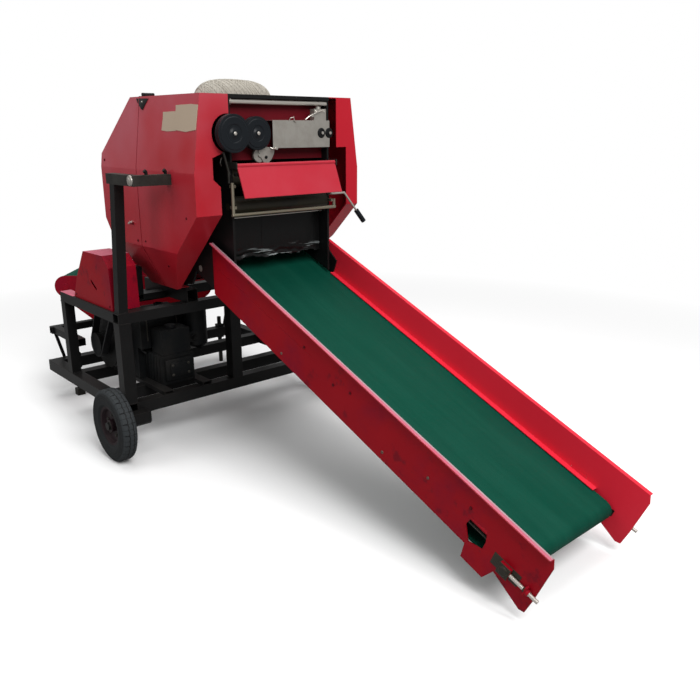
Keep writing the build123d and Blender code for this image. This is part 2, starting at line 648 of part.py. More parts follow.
def hinge_pieces():
    """The two hinges on top: ears and pin on the fixed cover, a leaf on the door."""
    axis = (DOOR_SEAM_X, DOOR_HINGE_Z)
    low = HINGE_Y - HINGE_LEAF / 2
    high = HINGE_Y + HINGE_LEAF / 2
    leaf_top = COVER_TOP_Z + HINGE_LEAF_THICKNESS
    fixed = rod_y(*axis, HINGE_PIN, -high - HINGE_EAR, -low + HINGE_EAR)
    for y in (-high - HINGE_EAR, -low + 1):
        fixed += rod_y(*axis, HINGE_BARREL, y, y + HINGE_EAR - 1)
        fixed += block(FIXED_SEAM_X, FIXED_SEAM_X + HINGE_LEAF_LENGTH, y, y + HINGE_EAR - 1,
                       COVER_TOP_Z, leaf_top)
    keep("hinge_ears", *both_sides(fixed))
    leaf = block(MOVING_SEAM_X - HINGE_LEAF_LENGTH, MOVING_SEAM_X, -high, -low, COVER_TOP_Z, leaf_top)
    leaf += rod_y(*axis, HINGE_BARREL, -high, -low)
    leaf -= rod_y(*axis, HINGE_PIN + RUNNING_CLEARANCE, -high - 1, -low + 1)
    keep("hinge_leaves", *both_sides(leaf))


def twine_pieces():
    """The twine rail with its rod bracket, the pulleys, the upper rod and the ball in its tray."""
    low = TWINE_RAIL_LOW_Z
    high = TWINE_RAIL_LOW_Z + TWINE_RAIL_HEIGHT
    web_x = TWINE_RAIL_X
    sheet = PANEL_SHEET
    back = TWINE_PANEL_X
    rail_end = FAR_PULLEY_Y + FAR_PULLEY_RADIUS + 11
    rail = block(back, web_x, rail_end, PLATE_INNER_Y, low, high)
    rail -= block(back - 1, web_x - sheet, rail_end - 1, PLATE_INNER_Y + 1, low + sheet, high - sheet)
    y0 = ROD_BRACKET_Y
    y1 = y0 + ROD_BRACKET_WIDTH
    top = high + ROD_BRACKET_HEIGHT
    rail += block(web_x - sheet, web_x, y0, y1, high, top)
    for y in (y0, y1 - sheet):
        rail += block(web_x - 30, web_x, y, y + sheet, high, top)
    rail += rod_z(web_x - 16, (y0 + y1) / 2, 12, high, top + 10)
    cam_z = CHAMBER_Z + PANEL_CAM_RISE
    cam = rod_x(PANEL_CAM_Y, cam_z, PANEL_CAM_RADIUS, back + 12, back + 26)
    cam += rod_x(PANEL_CAM_Y, cam_z, PANEL_CAM_RADIUS / 4, back, back + 32)
    keep("twine_rail", rail, cam)
    hanger = block(CURTAIN_X, back, -PLATE_INNER_Y, PLATE_INNER_Y,
                   CURTAIN_TOP_Z, CURTAIN_TOP_Z + CURTAIN_SHEET)
    upper_rod = rod_y(FRONT_ROD_X, CHAMBER_TOP_Z - FRONT_ROD_RADIUS - 3, FRONT_ROD_RADIUS,
                      -PLATE_INNER_Y, PLATE_INNER_Y)
    keep("front_rods", upper_rod, hanger)
    pulleys = []
    for y, radius, wall_x, inner_x in (
        (NEAR_PULLEY_Y, NEAR_PULLEY_RADIUS, CHAMBER_FRONT_X, TWINE_RAIL_X + 4),
        (FAR_PULLEY_Y, FAR_PULLEY_RADIUS, TWINE_PANEL_X, TWINE_PANEL_X + 28),
    ):
        outer_x = inner_x + TWINE_PULLEY_WIDTH
        shaft = rod_x(y, PULLEYS_Z, PULLEY_SHAFT_RADIUS, wall_x, outer_x + 6)
        pulleys.append(shaft + rod_x(y, PULLEYS_Z, radius, inner_x, outer_x))
    keep("twine_pulleys", *pulleys)
    half = TWINE_BALL_LENGTH / 2
    r = TWINE_BALL_RADIUS
    ball_line = Polyline((0, -half), (r - 40, -half), (r - 10, -half + 20), (r, -half + 50), (r, half - 50),
                         (r - 10, half - 20), (r - 40, half), (0, half), close=True)
    ball = revolve(Plane.XZ * make_face(ball_line), Axis.Z)
    keep("twine_ball", Pos(TWINE_BALL_X, TWINE_BALL_Y, TWINE_BALL_Z) * Rot(90, 0, 0) * ball)


def flap_pieces():
    """The guard flap that swings on a rod over the inlet, and the rod's two arms."""
    rod_x_place = FLAP_TOP_X - FLAP_SHEET
    flap_points = [
        (FLAP_TOP_X, FLAP_TOP_Z), (FLAP_LOW_X, FLAP_LOW_Z), (FLAP_LOW_X - FLAP_SHEET, FLAP_LOW_Z - 2),
        (FLAP_TOP_X - FLAP_SHEET, FLAP_TOP_Z - 2),
    ]
    half = FLAP_HALF_WIDTH
    flap = outline_xz(flap_points, -half, half)
    flap += rod_y(rod_x_place, FLAP_TOP_Z, FLAP_ROD_RADIUS + 3, -half, half)
    flap -= rod_y(rod_x_place, FLAP_TOP_Z, FLAP_ROD_RADIUS + RUNNING_CLEARANCE, -half - 1, half + 1)
    keep("guard_flap", flap)
    arm_y = PLATE_OUTER_Y
    arm = block(CHAMBER_FRONT_X - 30, FLAP_TOP_X + 8, -arm_y - 4, -arm_y, FLAP_TOP_Z - 14, FLAP_TOP_Z + 14)
    hinge_rod = rod_y(rod_x_place, FLAP_TOP_Z, FLAP_ROD_RADIUS, -arm_y, arm_y)
    keep("flap_hinge", hinge_rod + arm + far_of(arm))


def inlet_pieces():
    """The bent guard rod, the rubber curtain and the hand lever round the inlet."""
    bar_x = GUARD_BAR_X
    rod_radius = GUARD_ROD_RADIUS
    end_y = GUARD_ROD_Y + rod_radius
    clip_low = GUARD_BAR_Z + 25
    clip_high = clip_low + 12
    guard = rod_z(bar_x, -GUARD_ROD_Y, rod_radius, GUARD_BAR_Z, GUARD_TOP_Z)
    guard += rod_z(bar_x, GUARD_ROD_Y, rod_radius, GUARD_BAR_Z, clip_high)
    guard += rod_y(bar_x, GUARD_BAR_Z, rod_radius, -end_y, end_y)
    clip = block(CHAMBER_FRONT_X, bar_x, -GUARD_ROD_Y, -PLATE_INNER_Y - 2, clip_low, clip_high)
    guard += clip + far_of(clip) + Pos(0, 0, GUARD_TOP_Z - 10 - clip_high) * clip
    keep("roller_guard", guard)
    strip = 2 * PLATE_INNER_Y / CURTAIN_STRIPS
    strips = []
    for index in range(CURTAIN_STRIPS):
        y0 = -PLATE_INNER_Y + index * strip + 1
        strips.append(block(CURTAIN_X, CURTAIN_X + CURTAIN_SHEET, y0, y0 + strip - 2,
                            CURTAIN_LOW_Z, CURTAIN_TOP_Z))
    keep("inlet_curtain", *strips)
    start = Vector(LEVER_X, LEVER_SIDE_Y, LEVER_Z)
    tip = Vector(LEVER_TIP_X, LEVER_TIP_Y, CHAMBER_Z - LEVER_TIP_DROP)
    lever_axis = (tip - start).normalized()
    root_y = PLATE_INNER_Y + 5
    radius = LEVER_RADIUS
    lever = rod_x(root_y, LEVER_Z, radius, CHAMBER_FRONT_X, LEVER_X)
    lever += Pos(LEVER_X, root_y, LEVER_Z) * Sphere(radius)
    lever += rod_y(LEVER_X, LEVER_Z, radius, root_y, start.Y)
    lever += Pos(*start) * Sphere(radius)
    lever += Solid.make_cylinder(radius, (tip - start).length, Plane(origin=start, z_dir=lever_axis))
    keep("hand_lever", lever)
    keep("lever_grip", Solid.make_cylinder(GRIP_RADIUS, GRIP_LENGTH, Plane(origin=tip, z_dir=lever_axis)))


def stay_pieces():
    """The leaning post on the near front corner and the bent bar across its top."""
    half = POST_SIZE / 2
    y0 = -GUARD_OUTER_Y - 4
    y1 = y0 + POST_SIZE
    top = POST_TOP_Z
    points = [
        (POST_X - half, DECK_TOP), (POST_X + half, DECK_TOP), (POST_X + half + POST_LEAN, top),
        (POST_X - half + POST_LEAN, top),
    ]
    keep("stay_post", outline_xz(points, y0, y1))
    bar = block(BAR_START_X, BAR_END_X, y0, y1, top, top + POST_SIZE)
    bar += block(BAR_END_X - POST_SIZE, BAR_END_X, y1, -COVER_FACE_Y, top, top + POST_SIZE)
    keep("stay_bar", bar)


def guard_face(floor):
    """The belt guard's outline, from a floor height up."""
    points = [(x, DECK_TOP + rise if rise else floor) for x, rise in GUARD_OUTLINE]
    return make_face(Polyline(*points, close=True))


def drive_pieces():
    """Belt guard, pulleys, drive belt and gearbox on the near side of the deck."""
    t = GUARD_SHEET
    guard = thick_xz(guard_face(DECK_TOP), -GUARD_OUTER_Y, -GUARD_INNER_Y)
    hollow = offset(guard_face(DECK_TOP - 2 * t), amount=-t, kind=Kind.INTERSECTION)
    guard -= thick_xz(hollow, -GUARD_OUTER_Y + t, -GUARD_INNER_Y - t)
    slot = Rot(0, 0, GUARD_SLOT_TURN) * SlotOverall(GUARD_SLOT_LENGTH, GUARD_SLOT_WIDTH)
    slot = Pos(PULLEY_X + 13, PULLEY_Z + 8) * slot
    guard -= thick_xz(slot, -GUARD_OUTER_Y - 1, -GUARD_OUTER_Y + t + 1)
    guard -= rod_y(PULLEY_X, PULLEY_Z, DRIVE_PULLEY_RADIUS / 2, -GUARD_INNER_Y - t - 1, -GUARD_INNER_Y + 1)
    keep("belt_guard", guard)
    half = DRIVE_BELT_WIDTH / 2
    box_y = -DRIVE_BASE_Y
    upper = rod_y(PULLEY_X, PULLEY_Z, DRIVE_PULLEY_RADIUS, -DRIVE_BELT_Y - half, -DRIVE_BELT_Y + half)
    upper += rod_y(PULLEY_X, PULLEY_Z, AXLE_RADIUS, -DRIVE_BELT_Y, box_y)
    flywheel_y = ENGINE_Y - ENGINE_WIDTH / 2 - FLYWHEEL_GAP
    outer_y = flywheel_y - FLYWHEEL_WIDTH
    wheel = rod_y(FLYWHEEL_X, FLYWHEEL_Z, FLYWHEEL_RADIUS, outer_y, flywheel_y)
    wheel += rod_y(FLYWHEEL_X, FLYWHEEL_Z, FLYWHEEL_PULLEY_RADIUS, -DRIVE_BELT_Y - half, outer_y)
    wheel += rod_y(FLYWHEEL_X, FLYWHEEL_Z, 2 * AXLE_RADIUS, flywheel_y, flywheel_y + FLYWHEEL_GAP)
    keep("belt_pulleys", wheel, upper)
    low = FLYWHEEL_PULLEY_RADIUS + BODY_CLEARANCE
    high = DRIVE_PULLEY_RADIUS + BODY_CLEARANCE
    band = DRIVE_BELT_THICKNESS
    belt = taut_loop((FLYWHEEL_X, FLYWHEEL_Z, low + band), (PULLEY_X, PULLEY_Z, high + band), half - 2)
    belt -= taut_loop((FLYWHEEL_X, FLYWHEEL_Z, low), (PULLEY_X, PULLEY_Z, high), half)
    keep("drive_belt", Pos(0, -DRIVE_BELT_Y, 0) * belt)
    base_top = DECK_TOP + GEARBOX_BASE
    rear_x = PULLEY_X - GEARBOX_LENGTH / 2
    front_x = rear_x + GEARBOX_LENGTH
    keep("gearbox", block(rear_x, front_x, box_y, -GEARBOX_INNER_Y, base_top, base_top + GEARBOX_HEIGHT))
    base = tube_along("x", DECK_BRACKET_X, front_x, box_y, -GEARBOX_INNER_Y, DECK_TOP, base_top, t)
    strut = block(front_x - RAIL, front_x, -GEARBOX_INNER_Y, -PLATE_OUTER_Y, DECK_TOP, base_top)
    rails = [base + strut]
    for y in (ENGINE_Y - BEARER_PITCH / 2, ENGINE_Y + BEARER_PITCH / 2):
        rails.append(tube_along("x", REAR_LEG_X, FRAME_FRONT_X, y - BEARER_WIDTH / 2, y + BEARER_WIDTH / 2,
                                BASE_TOP, BEARER_TOP, t))
    keep("drive_rails", *rails)


def engine_pieces():
    """The lying single-cylinder engine under the deck, with its tank, hopper and air cleaner."""
    half = ENGINE_WIDTH / 2
    near = ENGINE_Y - half
    far = ENGINE_Y + half
    case_front = ENGINE_REAR_X + CRANKCASE_LENGTH
    case_top = BEARER_TOP + CRANKCASE_HEIGHT
    case = block(ENGINE_REAR_X, case_front, near, far, BEARER_TOP, case_top)
    rear_edges = case.edges().filter_by(Axis.Y).group_by(Axis.X)[0]
    case = fillet(rear_edges.sort_by(Axis.Z)[-1], CRANKCASE_HEIGHT / 3)
    cylinder_half = CYLINDER_WIDTH / 2
    cylinder_top = BEARER_TOP + CYLINDER_HEIGHT
    engine = case + block(case_front, ENGINE_FRONT_X, ENGINE_Y - cylinder_half, ENGINE_Y + cylinder_half,
                          BEARER_TOP, cylinder_top)
    tank = block(TANK_REAR_X, TANK_REAR_X + TANK_LENGTH, near, far, case_top, case_top + TANK_HEIGHT)
    tank = fillet(tank.edges().filter_by(Axis.Y).group_by(Axis.Z)[-1], TANK_HEIGHT / 3)
    hopper_rear = TANK_REAR_X + TANK_LENGTH + 10
    engine += tank
    engine += block(hopper_rear, hopper_rear + HOPPER_LENGTH, ENGINE_Y - cylinder_half + 10,
                    ENGINE_Y + cylinder_half - 10, cylinder_top, cylinder_top + HOPPER_HEIGHT)
    keep("engine_block", engine)
    air_x = TANK_REAR_X - AIR_CLEANER_RADIUS - 8
    air_y = near + AIR_CLEANER_RADIUS + 4
    pot_low = case_top + 20
    air = rod_z(air_x, air_y, AIR_CLEANER_RADIUS / 2, case_top, pot_low)
    air += rod_z(air_x, air_y, AIR_CLEANER_RADIUS, pot_low, pot_low + AIR_CLEANER_HEIGHT)
    keep("air_cleaner", air)


def taut_loop(low, high, half):
    """The solid inside a belt pulled tight round a low and a high pulley: x, z and radius of each."""
    low_x, low_z, low_r = low
    high_x, high_z, high_r = high
    span = math.hypot(high_x - low_x, high_z - low_z)
    lean = math.atan2(high_x - low_x, high_z - low_z)
    part = math.asin((high_r - low_r) / span)
    right = (math.cos(lean + part), -math.sin(lean + part))
    left = (-math.cos(lean - part), math.sin(lean - part))
    corners = [
        (low_x + low_r * left[0], low_z + low_r * left[1]),
        (high_x + high_r * left[0], high_z + high_r * left[1]),
        (high_x + high_r * right[0], high_z + high_r * right[1]),
        (low_x + low_r * right[0], low_z + low_r * right[1]),
    ]
    up = (math.sin(lean), math.cos(lean))
    crown = (high_x + high_r * up[0], high_z + high_r * up[1])
    keel = (low_x - low_r * up[0], low_z - low_r * up[1])
    edges = [
        Line(corners[0], corners[1]), ThreePointArc(corners[1], crown, corners[2]),
        Line(corners[2], corners[3]), ThreePointArc(corners[3], keel, corners[0]),
    ]
    return thick_xz(make_face(Wire(edges)), -half, half)


def table_outline():
    """The boat-shaped outline of a table plate, in length and height."""
    nose_u = TABLE_LENGTH / 2 - TABLE_NOSE_RADIUS
    nose_z = TABLE_TOP_Z - TABLE_NOSE_RADIUS
    slope = math.radians(TABLE_SLOPE)
    turn_u = nose_u + TABLE_NOSE_RADIUS * math.sin(slope)
    turn_z = nose_z - TABLE_NOSE_RADIUS * math.cos(slope)
    foot_u = turn_u - (turn_z - TABLE_LOW_Z) / math.tan(slope)
    side_u = nose_u + TABLE_NOSE_RADIUS
    edges = [
        Line((-nose_u, TABLE_TOP_Z), (nose_u, TABLE_TOP_Z)),
        ThreePointArc((nose_u, TABLE_TOP_Z), (side_u, nose_z), (turn_u, turn_z)),
        Line((turn_u, turn_z), (foot_u, TABLE_LOW_Z)),
        Line((foot_u, TABLE_LOW_Z), (-foot_u, TABLE_LOW_Z)),
        Line((-foot_u, TABLE_LOW_Z), (-turn_u, turn_z)),
        ThreePointArc((-turn_u, turn_z), (-side_u, nose_z), (-nose_u, TABLE_TOP_Z)),
    ]
    return make_face(Wire(edges)), nose_u, nose_z, foot_u


def table_pieces():
    """The turning wrap table, turned as it was parked."""
    face, nose_u, nose_z, foot_u = table_outline()
    place = Pos(TABLE_X, 0, 0) * Rot(0, 0, TABLE_TURN)
    half = TABLE_WIDTH / 2
    plate = thick_xz(face, -half, -half + TABLE_PLATE)
    bore = ROLLER_SHAFT_RADIUS + RUNNING_CLEARANCE
    roller_half = half - TABLE_PLATE - 4
    rollers = []
    for u in (-nose_u, nose_u):
        plate -= rod_y(u, nose_z, bore, -half - 1, -half + TABLE_PLATE + 1)
        drum = rod_y(u, nose_z, TABLE_ROLLER_RADIUS, -roller_half, roller_half)
        drum += rod_y(u, nose_z, ROLLER_SHAFT_RADIUS, -half, half)
        rollers.append(place * drum)
    keep("table_plates", *[place * piece for piece in both_sides(plate)])
    keep("table_rollers", *rollers)
    r_in = TABLE_ROLLER_RADIUS + BODY_CLEARANCE
    belt = sagging_loop(nose_u, nose_z, r_in + TABLE_BELT_THICKNESS, TABLE_BELT_THICKNESS, roller_half)
    belt -= sagging_loop(nose_u, nose_z, r_in, 0, roller_half + 1)
    keep("table_belt", place * belt)
    base = block(-foot_u + 20, foot_u - 20, -half + TABLE_PLATE, half - TABLE_PLATE,
                 TABLE_LOW_Z, TABLE_LOW_Z + 8)
    base += rod_z(0, 0, TABLE_SHAFT_RADIUS, PEDESTAL_TOP_Z - 40, TABLE_LOW_Z)
    base += rod_z(0, 0, TABLE_SHAFT_RADIUS + 15, PEDESTAL_TOP_Z + BODY_CLEARANCE, TABLE_LOW_Z)
    keep("table_base", place * base)


def table_support_pieces():
    """The pedestal on the rear rail, and the subframe that braces it to the rear legs."""
    half = PEDESTAL / 2
    x0 = TABLE_X - half
    x1 = TABLE_X + half
    cap_low = PEDESTAL_TOP_Z - 12
    pedestal = tube_along("z", x0, x1, -half, half, BASE_TOP, cap_low, 5)
    cap = block(x0, x1, -half, half, cap_low, PEDESTAL_TOP_Z)
    cap -= rod_z(TABLE_X, 0, TABLE_SHAFT_RADIUS + RUNNING_CLEARANCE, cap_low - 8, PEDESTAL_TOP_Z + 1)
    keep("table_pedestal", pedestal + cap)
    low = SUBFRAME_TOP_Z - SUBFRAME_TUBE
    end_y = RAIL_INNER_Y + SUBFRAME_OVERHANG
    leg_y = REAR_LEG - FRAME_HALF_WIDTH
    subframe = tube_along("y", FRAME_REAR_X - SUBFRAME_TUBE, FRAME_REAR_X, -end_y, -half,
                          low, SUBFRAME_TOP_Z, 3)
    subframe += tube_along("x", FRAME_REAR_X, REAR_LEG_X + REAR_LEG, leg_y, leg_y + SUBFRAME_TUBE,
                           low, SUBFRAME_TOP_Z, 3)
    strap_y = -end_y + 8
    strap_low = BASE_TOP - STRAP_LAP
    subframe += outline_yz([
        (strap_y, low), (strap_y + STRAP_WIDTH, low), (strap_y + STRAP_WIDTH + STRAP_LEAN, strap_low),
        (strap_y + STRAP_LEAN, strap_low),
    ], FRAME_REAR_X - STRAP_THICKNESS, FRAME_REAR_X)
    keep("table_subframe", *both_sides(subframe))


def sagging_loop(nose_u, nose_z, radius, thick, half):
    """The solid inside a belt that hangs in an arc between two rollers, above and below."""
    base = radius - thick
    hung = (nose_u ** 2 + TABLE_BELT_SAG ** 2) / (2 * TABLE_BELT_SAG)
    slack = (nose_u ** 2 + TABLE_LOW_SAG ** 2) / (2 * TABLE_LOW_SAG)
    top = (nose_u - radius * nose_u / hung, nose_z + radius * (hung - TABLE_BELT_SAG) / hung)
    low = (nose_u + radius * nose_u / slack, nose_z - radius * (slack - TABLE_LOW_SAG) / slack)
    end = (nose_u + radius * math.cos(0.1), nose_z + radius * math.sin(0.1))
    top_dip = nose_z + base - TABLE_BELT_SAG + thick
    low_dip = nose_z - base - TABLE_LOW_SAG - thick
    edges = [
        ThreePointArc((-top[0], top[1]), (0, top_dip), top),
        ThreePointArc(top, end, low),
        ThreePointArc(low, (0, low_dip), (-low[0], low[1])),
        ThreePointArc((-low[0], low[1]), (-end[0], end[1]), (-top[0], top[1])),
    ]
    return thick_xz(make_face(Wire(edges)), -half, half)


def conveyor_plate():
    """The near side plate in the conveyor's own frame: X down the slope, Z square to it."""
    length = CONVEYOR_LENGTH
    depth = CONVEYOR_DEPTH
    half = CONVEYOR_WIDTH / 2
    lug = length - CONVEYOR_LUG_STEP
    points = [
        (CONVEYOR_HEAD_S, 0), (length, 0), (length + 14, -30), (length + 11, 75 - CONVEYOR_TIP_DEPTH),
        (length + 6, 8 - CONVEYOR_TIP_DEPTH), (length - 14, -CONVEYOR_TIP_DEPTH),
        (length - CONVEYOR_TIP_STEP, -depth),
        (lug + CONVEYOR_LUG_LENGTH, -CONVEYOR_LUG_DEPTH), (lug + 5, -CONVEYOR_LUG_DEPTH), (lug - 3, -depth),
        (CONVEYOR_HEAD_S + depth * math.tan(SLOPE), -depth),
    ]
    plate = outline_xz(points, -half, -CONVEYOR_INNER_Y)
    plate += block(CONVEYOR_HEAD_S, length, -half - CONVEYOR_FLANGE, -half, -CONVEYOR_PLATE, 0)
    skirt_n = -BELT_DROP + 5
    plate += block(HEAD_BRACKET_END + 1, length - 170, -CONVEYOR_INNER_Y, -CONVEYOR_INNER_Y + SKIRT_WIDTH,
                   skirt_n, skirt_n + 3)
    window_s = length - 304
    window_n = -105.0
    window = [
        (window_s, window_n - 43), (window_s + 10, window_n - 8), (window_s + 79, window_n),
        (window_s + 91, window_n - 41), (window_s + 90, window_n - 76), (window_s + 34, window_n - 96),
    ]
    plate -= outline_xz(window, -half - 1, -CONVEYOR_INNER_Y + 1)
    slot_half = ROLLER_SHAFT_RADIUS + 2
    slot_s = TAIL_ROLLER_S - TENSION_SLOT / 2
    plate -= block(slot_s, slot_s + TENSION_SLOT, -half - 1, -CONVEYOR_INNER_Y + 1,
                   ROLLER_N - slot_half, ROLLER_N + slot_half)
    carrier = slot_half + 5
    outer = -half - CONVEYOR_FLANGE
    plate += block(TAIL_ROLLER_S - carrier, TAIL_ROLLER_S + carrier, outer, -half,
                   ROLLER_N - carrier, ROLLER_N + carrier)
    plate -= rod_y(TAIL_ROLLER_S, ROLLER_N, ROLLER_SHAFT_RADIUS + RUNNING_CLEARANCE, outer - 1, -half + 1)
    rod_place = (outer + TENSION_ROD_RADIUS + 2, ROLLER_N)
    plate += rod_x(*rod_place, TENSION_ROD_RADIUS, TAIL_ROLLER_S + carrier - 2, length + 16)
    plate += block(length - 26, length - 18, outer, -half, ROLLER_N - 18, ROLLER_N + 18)
    plate += rod_x(*rod_place, TENSION_ROD_RADIUS + 5, length - 18, length - 8)
    return plate


def head_bracket():
    """The near bracket plate that holds the head roller and bolts to the chamber plate."""
    end = HEAD_BRACKET_END
    roller_s = HEAD_ROLLER_S
    inner = CONVEYOR_INNER_Y
    points = [
        (roller_s - 50, -75), (roller_s + 30, -25), (roller_s + 90, -8), (end, -60),
        (end, 18 - CONVEYOR_DEPTH), (roller_s - 40, 13 - CONVEYOR_DEPTH),
    ]
    plate = outline_xz(points, -inner, -inner + HEAD_BRACKET)
    bore = ROLLER_SHAFT_RADIUS + RUNNING_CLEARANCE
    plate -= rod_y(roller_s, ROLLER_N, bore, -inner - 1, -inner + HEAD_BRACKET + 1)
    for s, n in ((roller_s + 70, -70), (roller_s - 20, -75)):
        plate += rod_y(s, n, 14, -inner + HEAD_BRACKET, -PLATE_OUTER_Y)
    return plate


def conveyor_pieces():
    """Side plates, head brackets, belt, rollers, bed plate and ties."""
    place = Pos(CONVEYOR_TOP_X, 0, CONVEYOR_TOP_Z) * Rot(0, CONVEYOR_SLOPE, 0)
    half = CONVEYOR_WIDTH / 2
    inner = CONVEYOR_INNER_Y
    plate = conveyor_plate()
    keep("conveyor_side_near", place * plate)
    keep("conveyor_side_far", place * far_of(plate))
    keep("head_brackets", *[place * piece for piece in both_sides(head_bracket())])
    belt_half = inner - BELT_SIDE_GAP
    rollers = []
    for s, shaft_half in ((HEAD_ROLLER_S, inner), (TAIL_ROLLER_S, half + CONVEYOR_FLANGE)):
        drum = rod_y(s, ROLLER_N, CONVEYOR_ROLLER_RADIUS, -belt_half, belt_half)
        drum += rod_y(s, ROLLER_N, ROLLER_SHAFT_RADIUS, -shaft_half, shaft_half)
        rollers.append(place * drum)
    keep("conveyor_rollers", *rollers)
    r_in = CONVEYOR_ROLLER_RADIUS + BODY_CLEARANCE
    belt = belt_loop(r_in + BELT_THICKNESS, belt_half) - belt_loop(r_in, belt_half + 1)
    keep("conveyor_belt", place * belt)
    bed_n = ROLLER_N + r_in - 1
    bed = block(HEAD_BRACKET_END + 1, TAIL_ROLLER_S - 60, -inner, inner, bed_n - 3, bed_n)
    keep("conveyor_bed", place * bed)
    ties = []
    for share in TIE_PLACES:
        ties.append(place * rod_y(share * CONVEYOR_LENGTH, ROLLER_N - 10, TIE_RADIUS, -inner, inner))
    keep("conveyor_ties", *ties)


def belt_loop(radius, half):
    """The solid inside a belt that runs round the head and tail rollers."""
    top = ROLLER_N + radius
    low = ROLLER_N - radius
    edges = [
        Line((HEAD_ROLLER_S, top), (TAIL_ROLLER_S, top)),
        ThreePointArc((TAIL_ROLLER_S, top), (TAIL_ROLLER_S + radius, ROLLER_N), (TAIL_ROLLER_S, low)),
        Line((TAIL_ROLLER_S, low), (HEAD_ROLLER_S, low)),
        ThreePointArc((HEAD_ROLLER_S, low), (HEAD_ROLLER_S - radius, ROLLER_N), (HEAD_ROLLER_S, top)),
    ]
    return thick_xz(make_face(Wire(edges)), -half, half)


frame_pieces()
axle_pieces()
wheel_pieces()
stand_pieces()
chamber_pieces()
cover_pieces()
door_pieces()
hinge_pieces()
twine_pieces()
flap_pieces()
inlet_pieces()
stay_pieces()
drive_pieces()
engine_pieces()
table_pieces()
table_support_pieces()
conveyor_pieces()

# The origin is the middle of the whole outline, on the floor
corners = [solid.bounding_box() for solids in nodes.values() for solid in solids]
ORIGIN_X = (min(box.min.X for box in corners) + max(box.max.X for box in corners)) / 2
shift = Pos(-ORIGIN_X, 0, 0)
os.makedirs("parts", exist_ok=True)
for name, solids in nodes.items():
    moved = [shift * solid for solid in solids]
    shape = moved[0] if len(moved) == 1 else Compound(children=moved)
    export_step(shape, os.path.join("parts", name + ".step"))
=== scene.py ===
"""Looks for the round baler: finishes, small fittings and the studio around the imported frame."""

import json
import logging
import math
from dataclasses import dataclass, field, replace
from enum import Enum
from typing import Callable, Iterable, Self, Sequence

import bmesh
import bpy
from mathutils import Matrix, Vector

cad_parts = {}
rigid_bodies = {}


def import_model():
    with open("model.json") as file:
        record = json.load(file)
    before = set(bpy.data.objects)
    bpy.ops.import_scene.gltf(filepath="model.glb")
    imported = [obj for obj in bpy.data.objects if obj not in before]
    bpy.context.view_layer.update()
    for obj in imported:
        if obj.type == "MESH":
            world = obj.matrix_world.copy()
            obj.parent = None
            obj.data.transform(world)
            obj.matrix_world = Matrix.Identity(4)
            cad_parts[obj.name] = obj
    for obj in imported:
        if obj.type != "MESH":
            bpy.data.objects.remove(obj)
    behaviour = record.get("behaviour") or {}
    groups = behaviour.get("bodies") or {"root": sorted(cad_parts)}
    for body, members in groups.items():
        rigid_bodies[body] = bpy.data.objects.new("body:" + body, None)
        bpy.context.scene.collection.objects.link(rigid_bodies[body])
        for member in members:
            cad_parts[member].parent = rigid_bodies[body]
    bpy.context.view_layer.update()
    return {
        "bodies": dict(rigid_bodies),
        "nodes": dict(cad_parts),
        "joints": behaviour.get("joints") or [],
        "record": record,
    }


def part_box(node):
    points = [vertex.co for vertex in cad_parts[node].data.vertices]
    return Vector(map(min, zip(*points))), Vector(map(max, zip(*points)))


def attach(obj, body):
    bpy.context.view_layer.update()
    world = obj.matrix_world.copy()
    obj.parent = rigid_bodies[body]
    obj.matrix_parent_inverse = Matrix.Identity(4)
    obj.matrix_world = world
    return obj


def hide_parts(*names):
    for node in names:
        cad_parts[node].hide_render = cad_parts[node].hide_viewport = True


LOG = logging.getLogger("baler")
MM = 0.001
Point = Sequence[float]
Colour = tuple[float, float, float]
Socket = bpy.types.NodeSocket

WHEEL_X = -28.0
WHEEL_Y = 720.0
AXLE_Z = 175.0
COVER_FACE_Y = 455.0
SLOPE = 22.1
CONVEYOR_TOP = (275.0, 0.0, 1015.0)
CONVEYOR_HALF = 304.0
CONVEYOR_FLANGE = 320.0
TABLE_X = -1050.0
TABLE_TURN = 48.0

SIDES = (-1, 1)
FORWARD = (1, 0, 0)
UP = (0, 0, 1)
BEVEL_SAMPLES = 4
PATTERN_BUMP = 0.35
BUMP_DEPTH = 0.002
SCUFF_SCALE = 6.0
COAT_ROUGHNESS = 0.18
WEAVE_SCALE = 190.0
SHARP_ANGLE = math.radians(32)


class Body(Enum):
    """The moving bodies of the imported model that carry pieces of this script."""
    FRAME = "frame"
    DOOR = "rear_door"
    TABLE = "wrap_table"
    WHEEL_NEAR = "wheel_near"
    WHEEL_FAR = "wheel_far"


class Slot(Enum):
    """The record's material slots."""
    RED = "paint_red"
    BLACK = "paint_black"
    STEEL = "steel"
    IRON = "cast_iron"
    TYRE = "tyre"
    RUBBER = "rubber_black"
    BELT = "belt_green"
    PLASTIC = "plastic_black"
    TWINE = "twine"


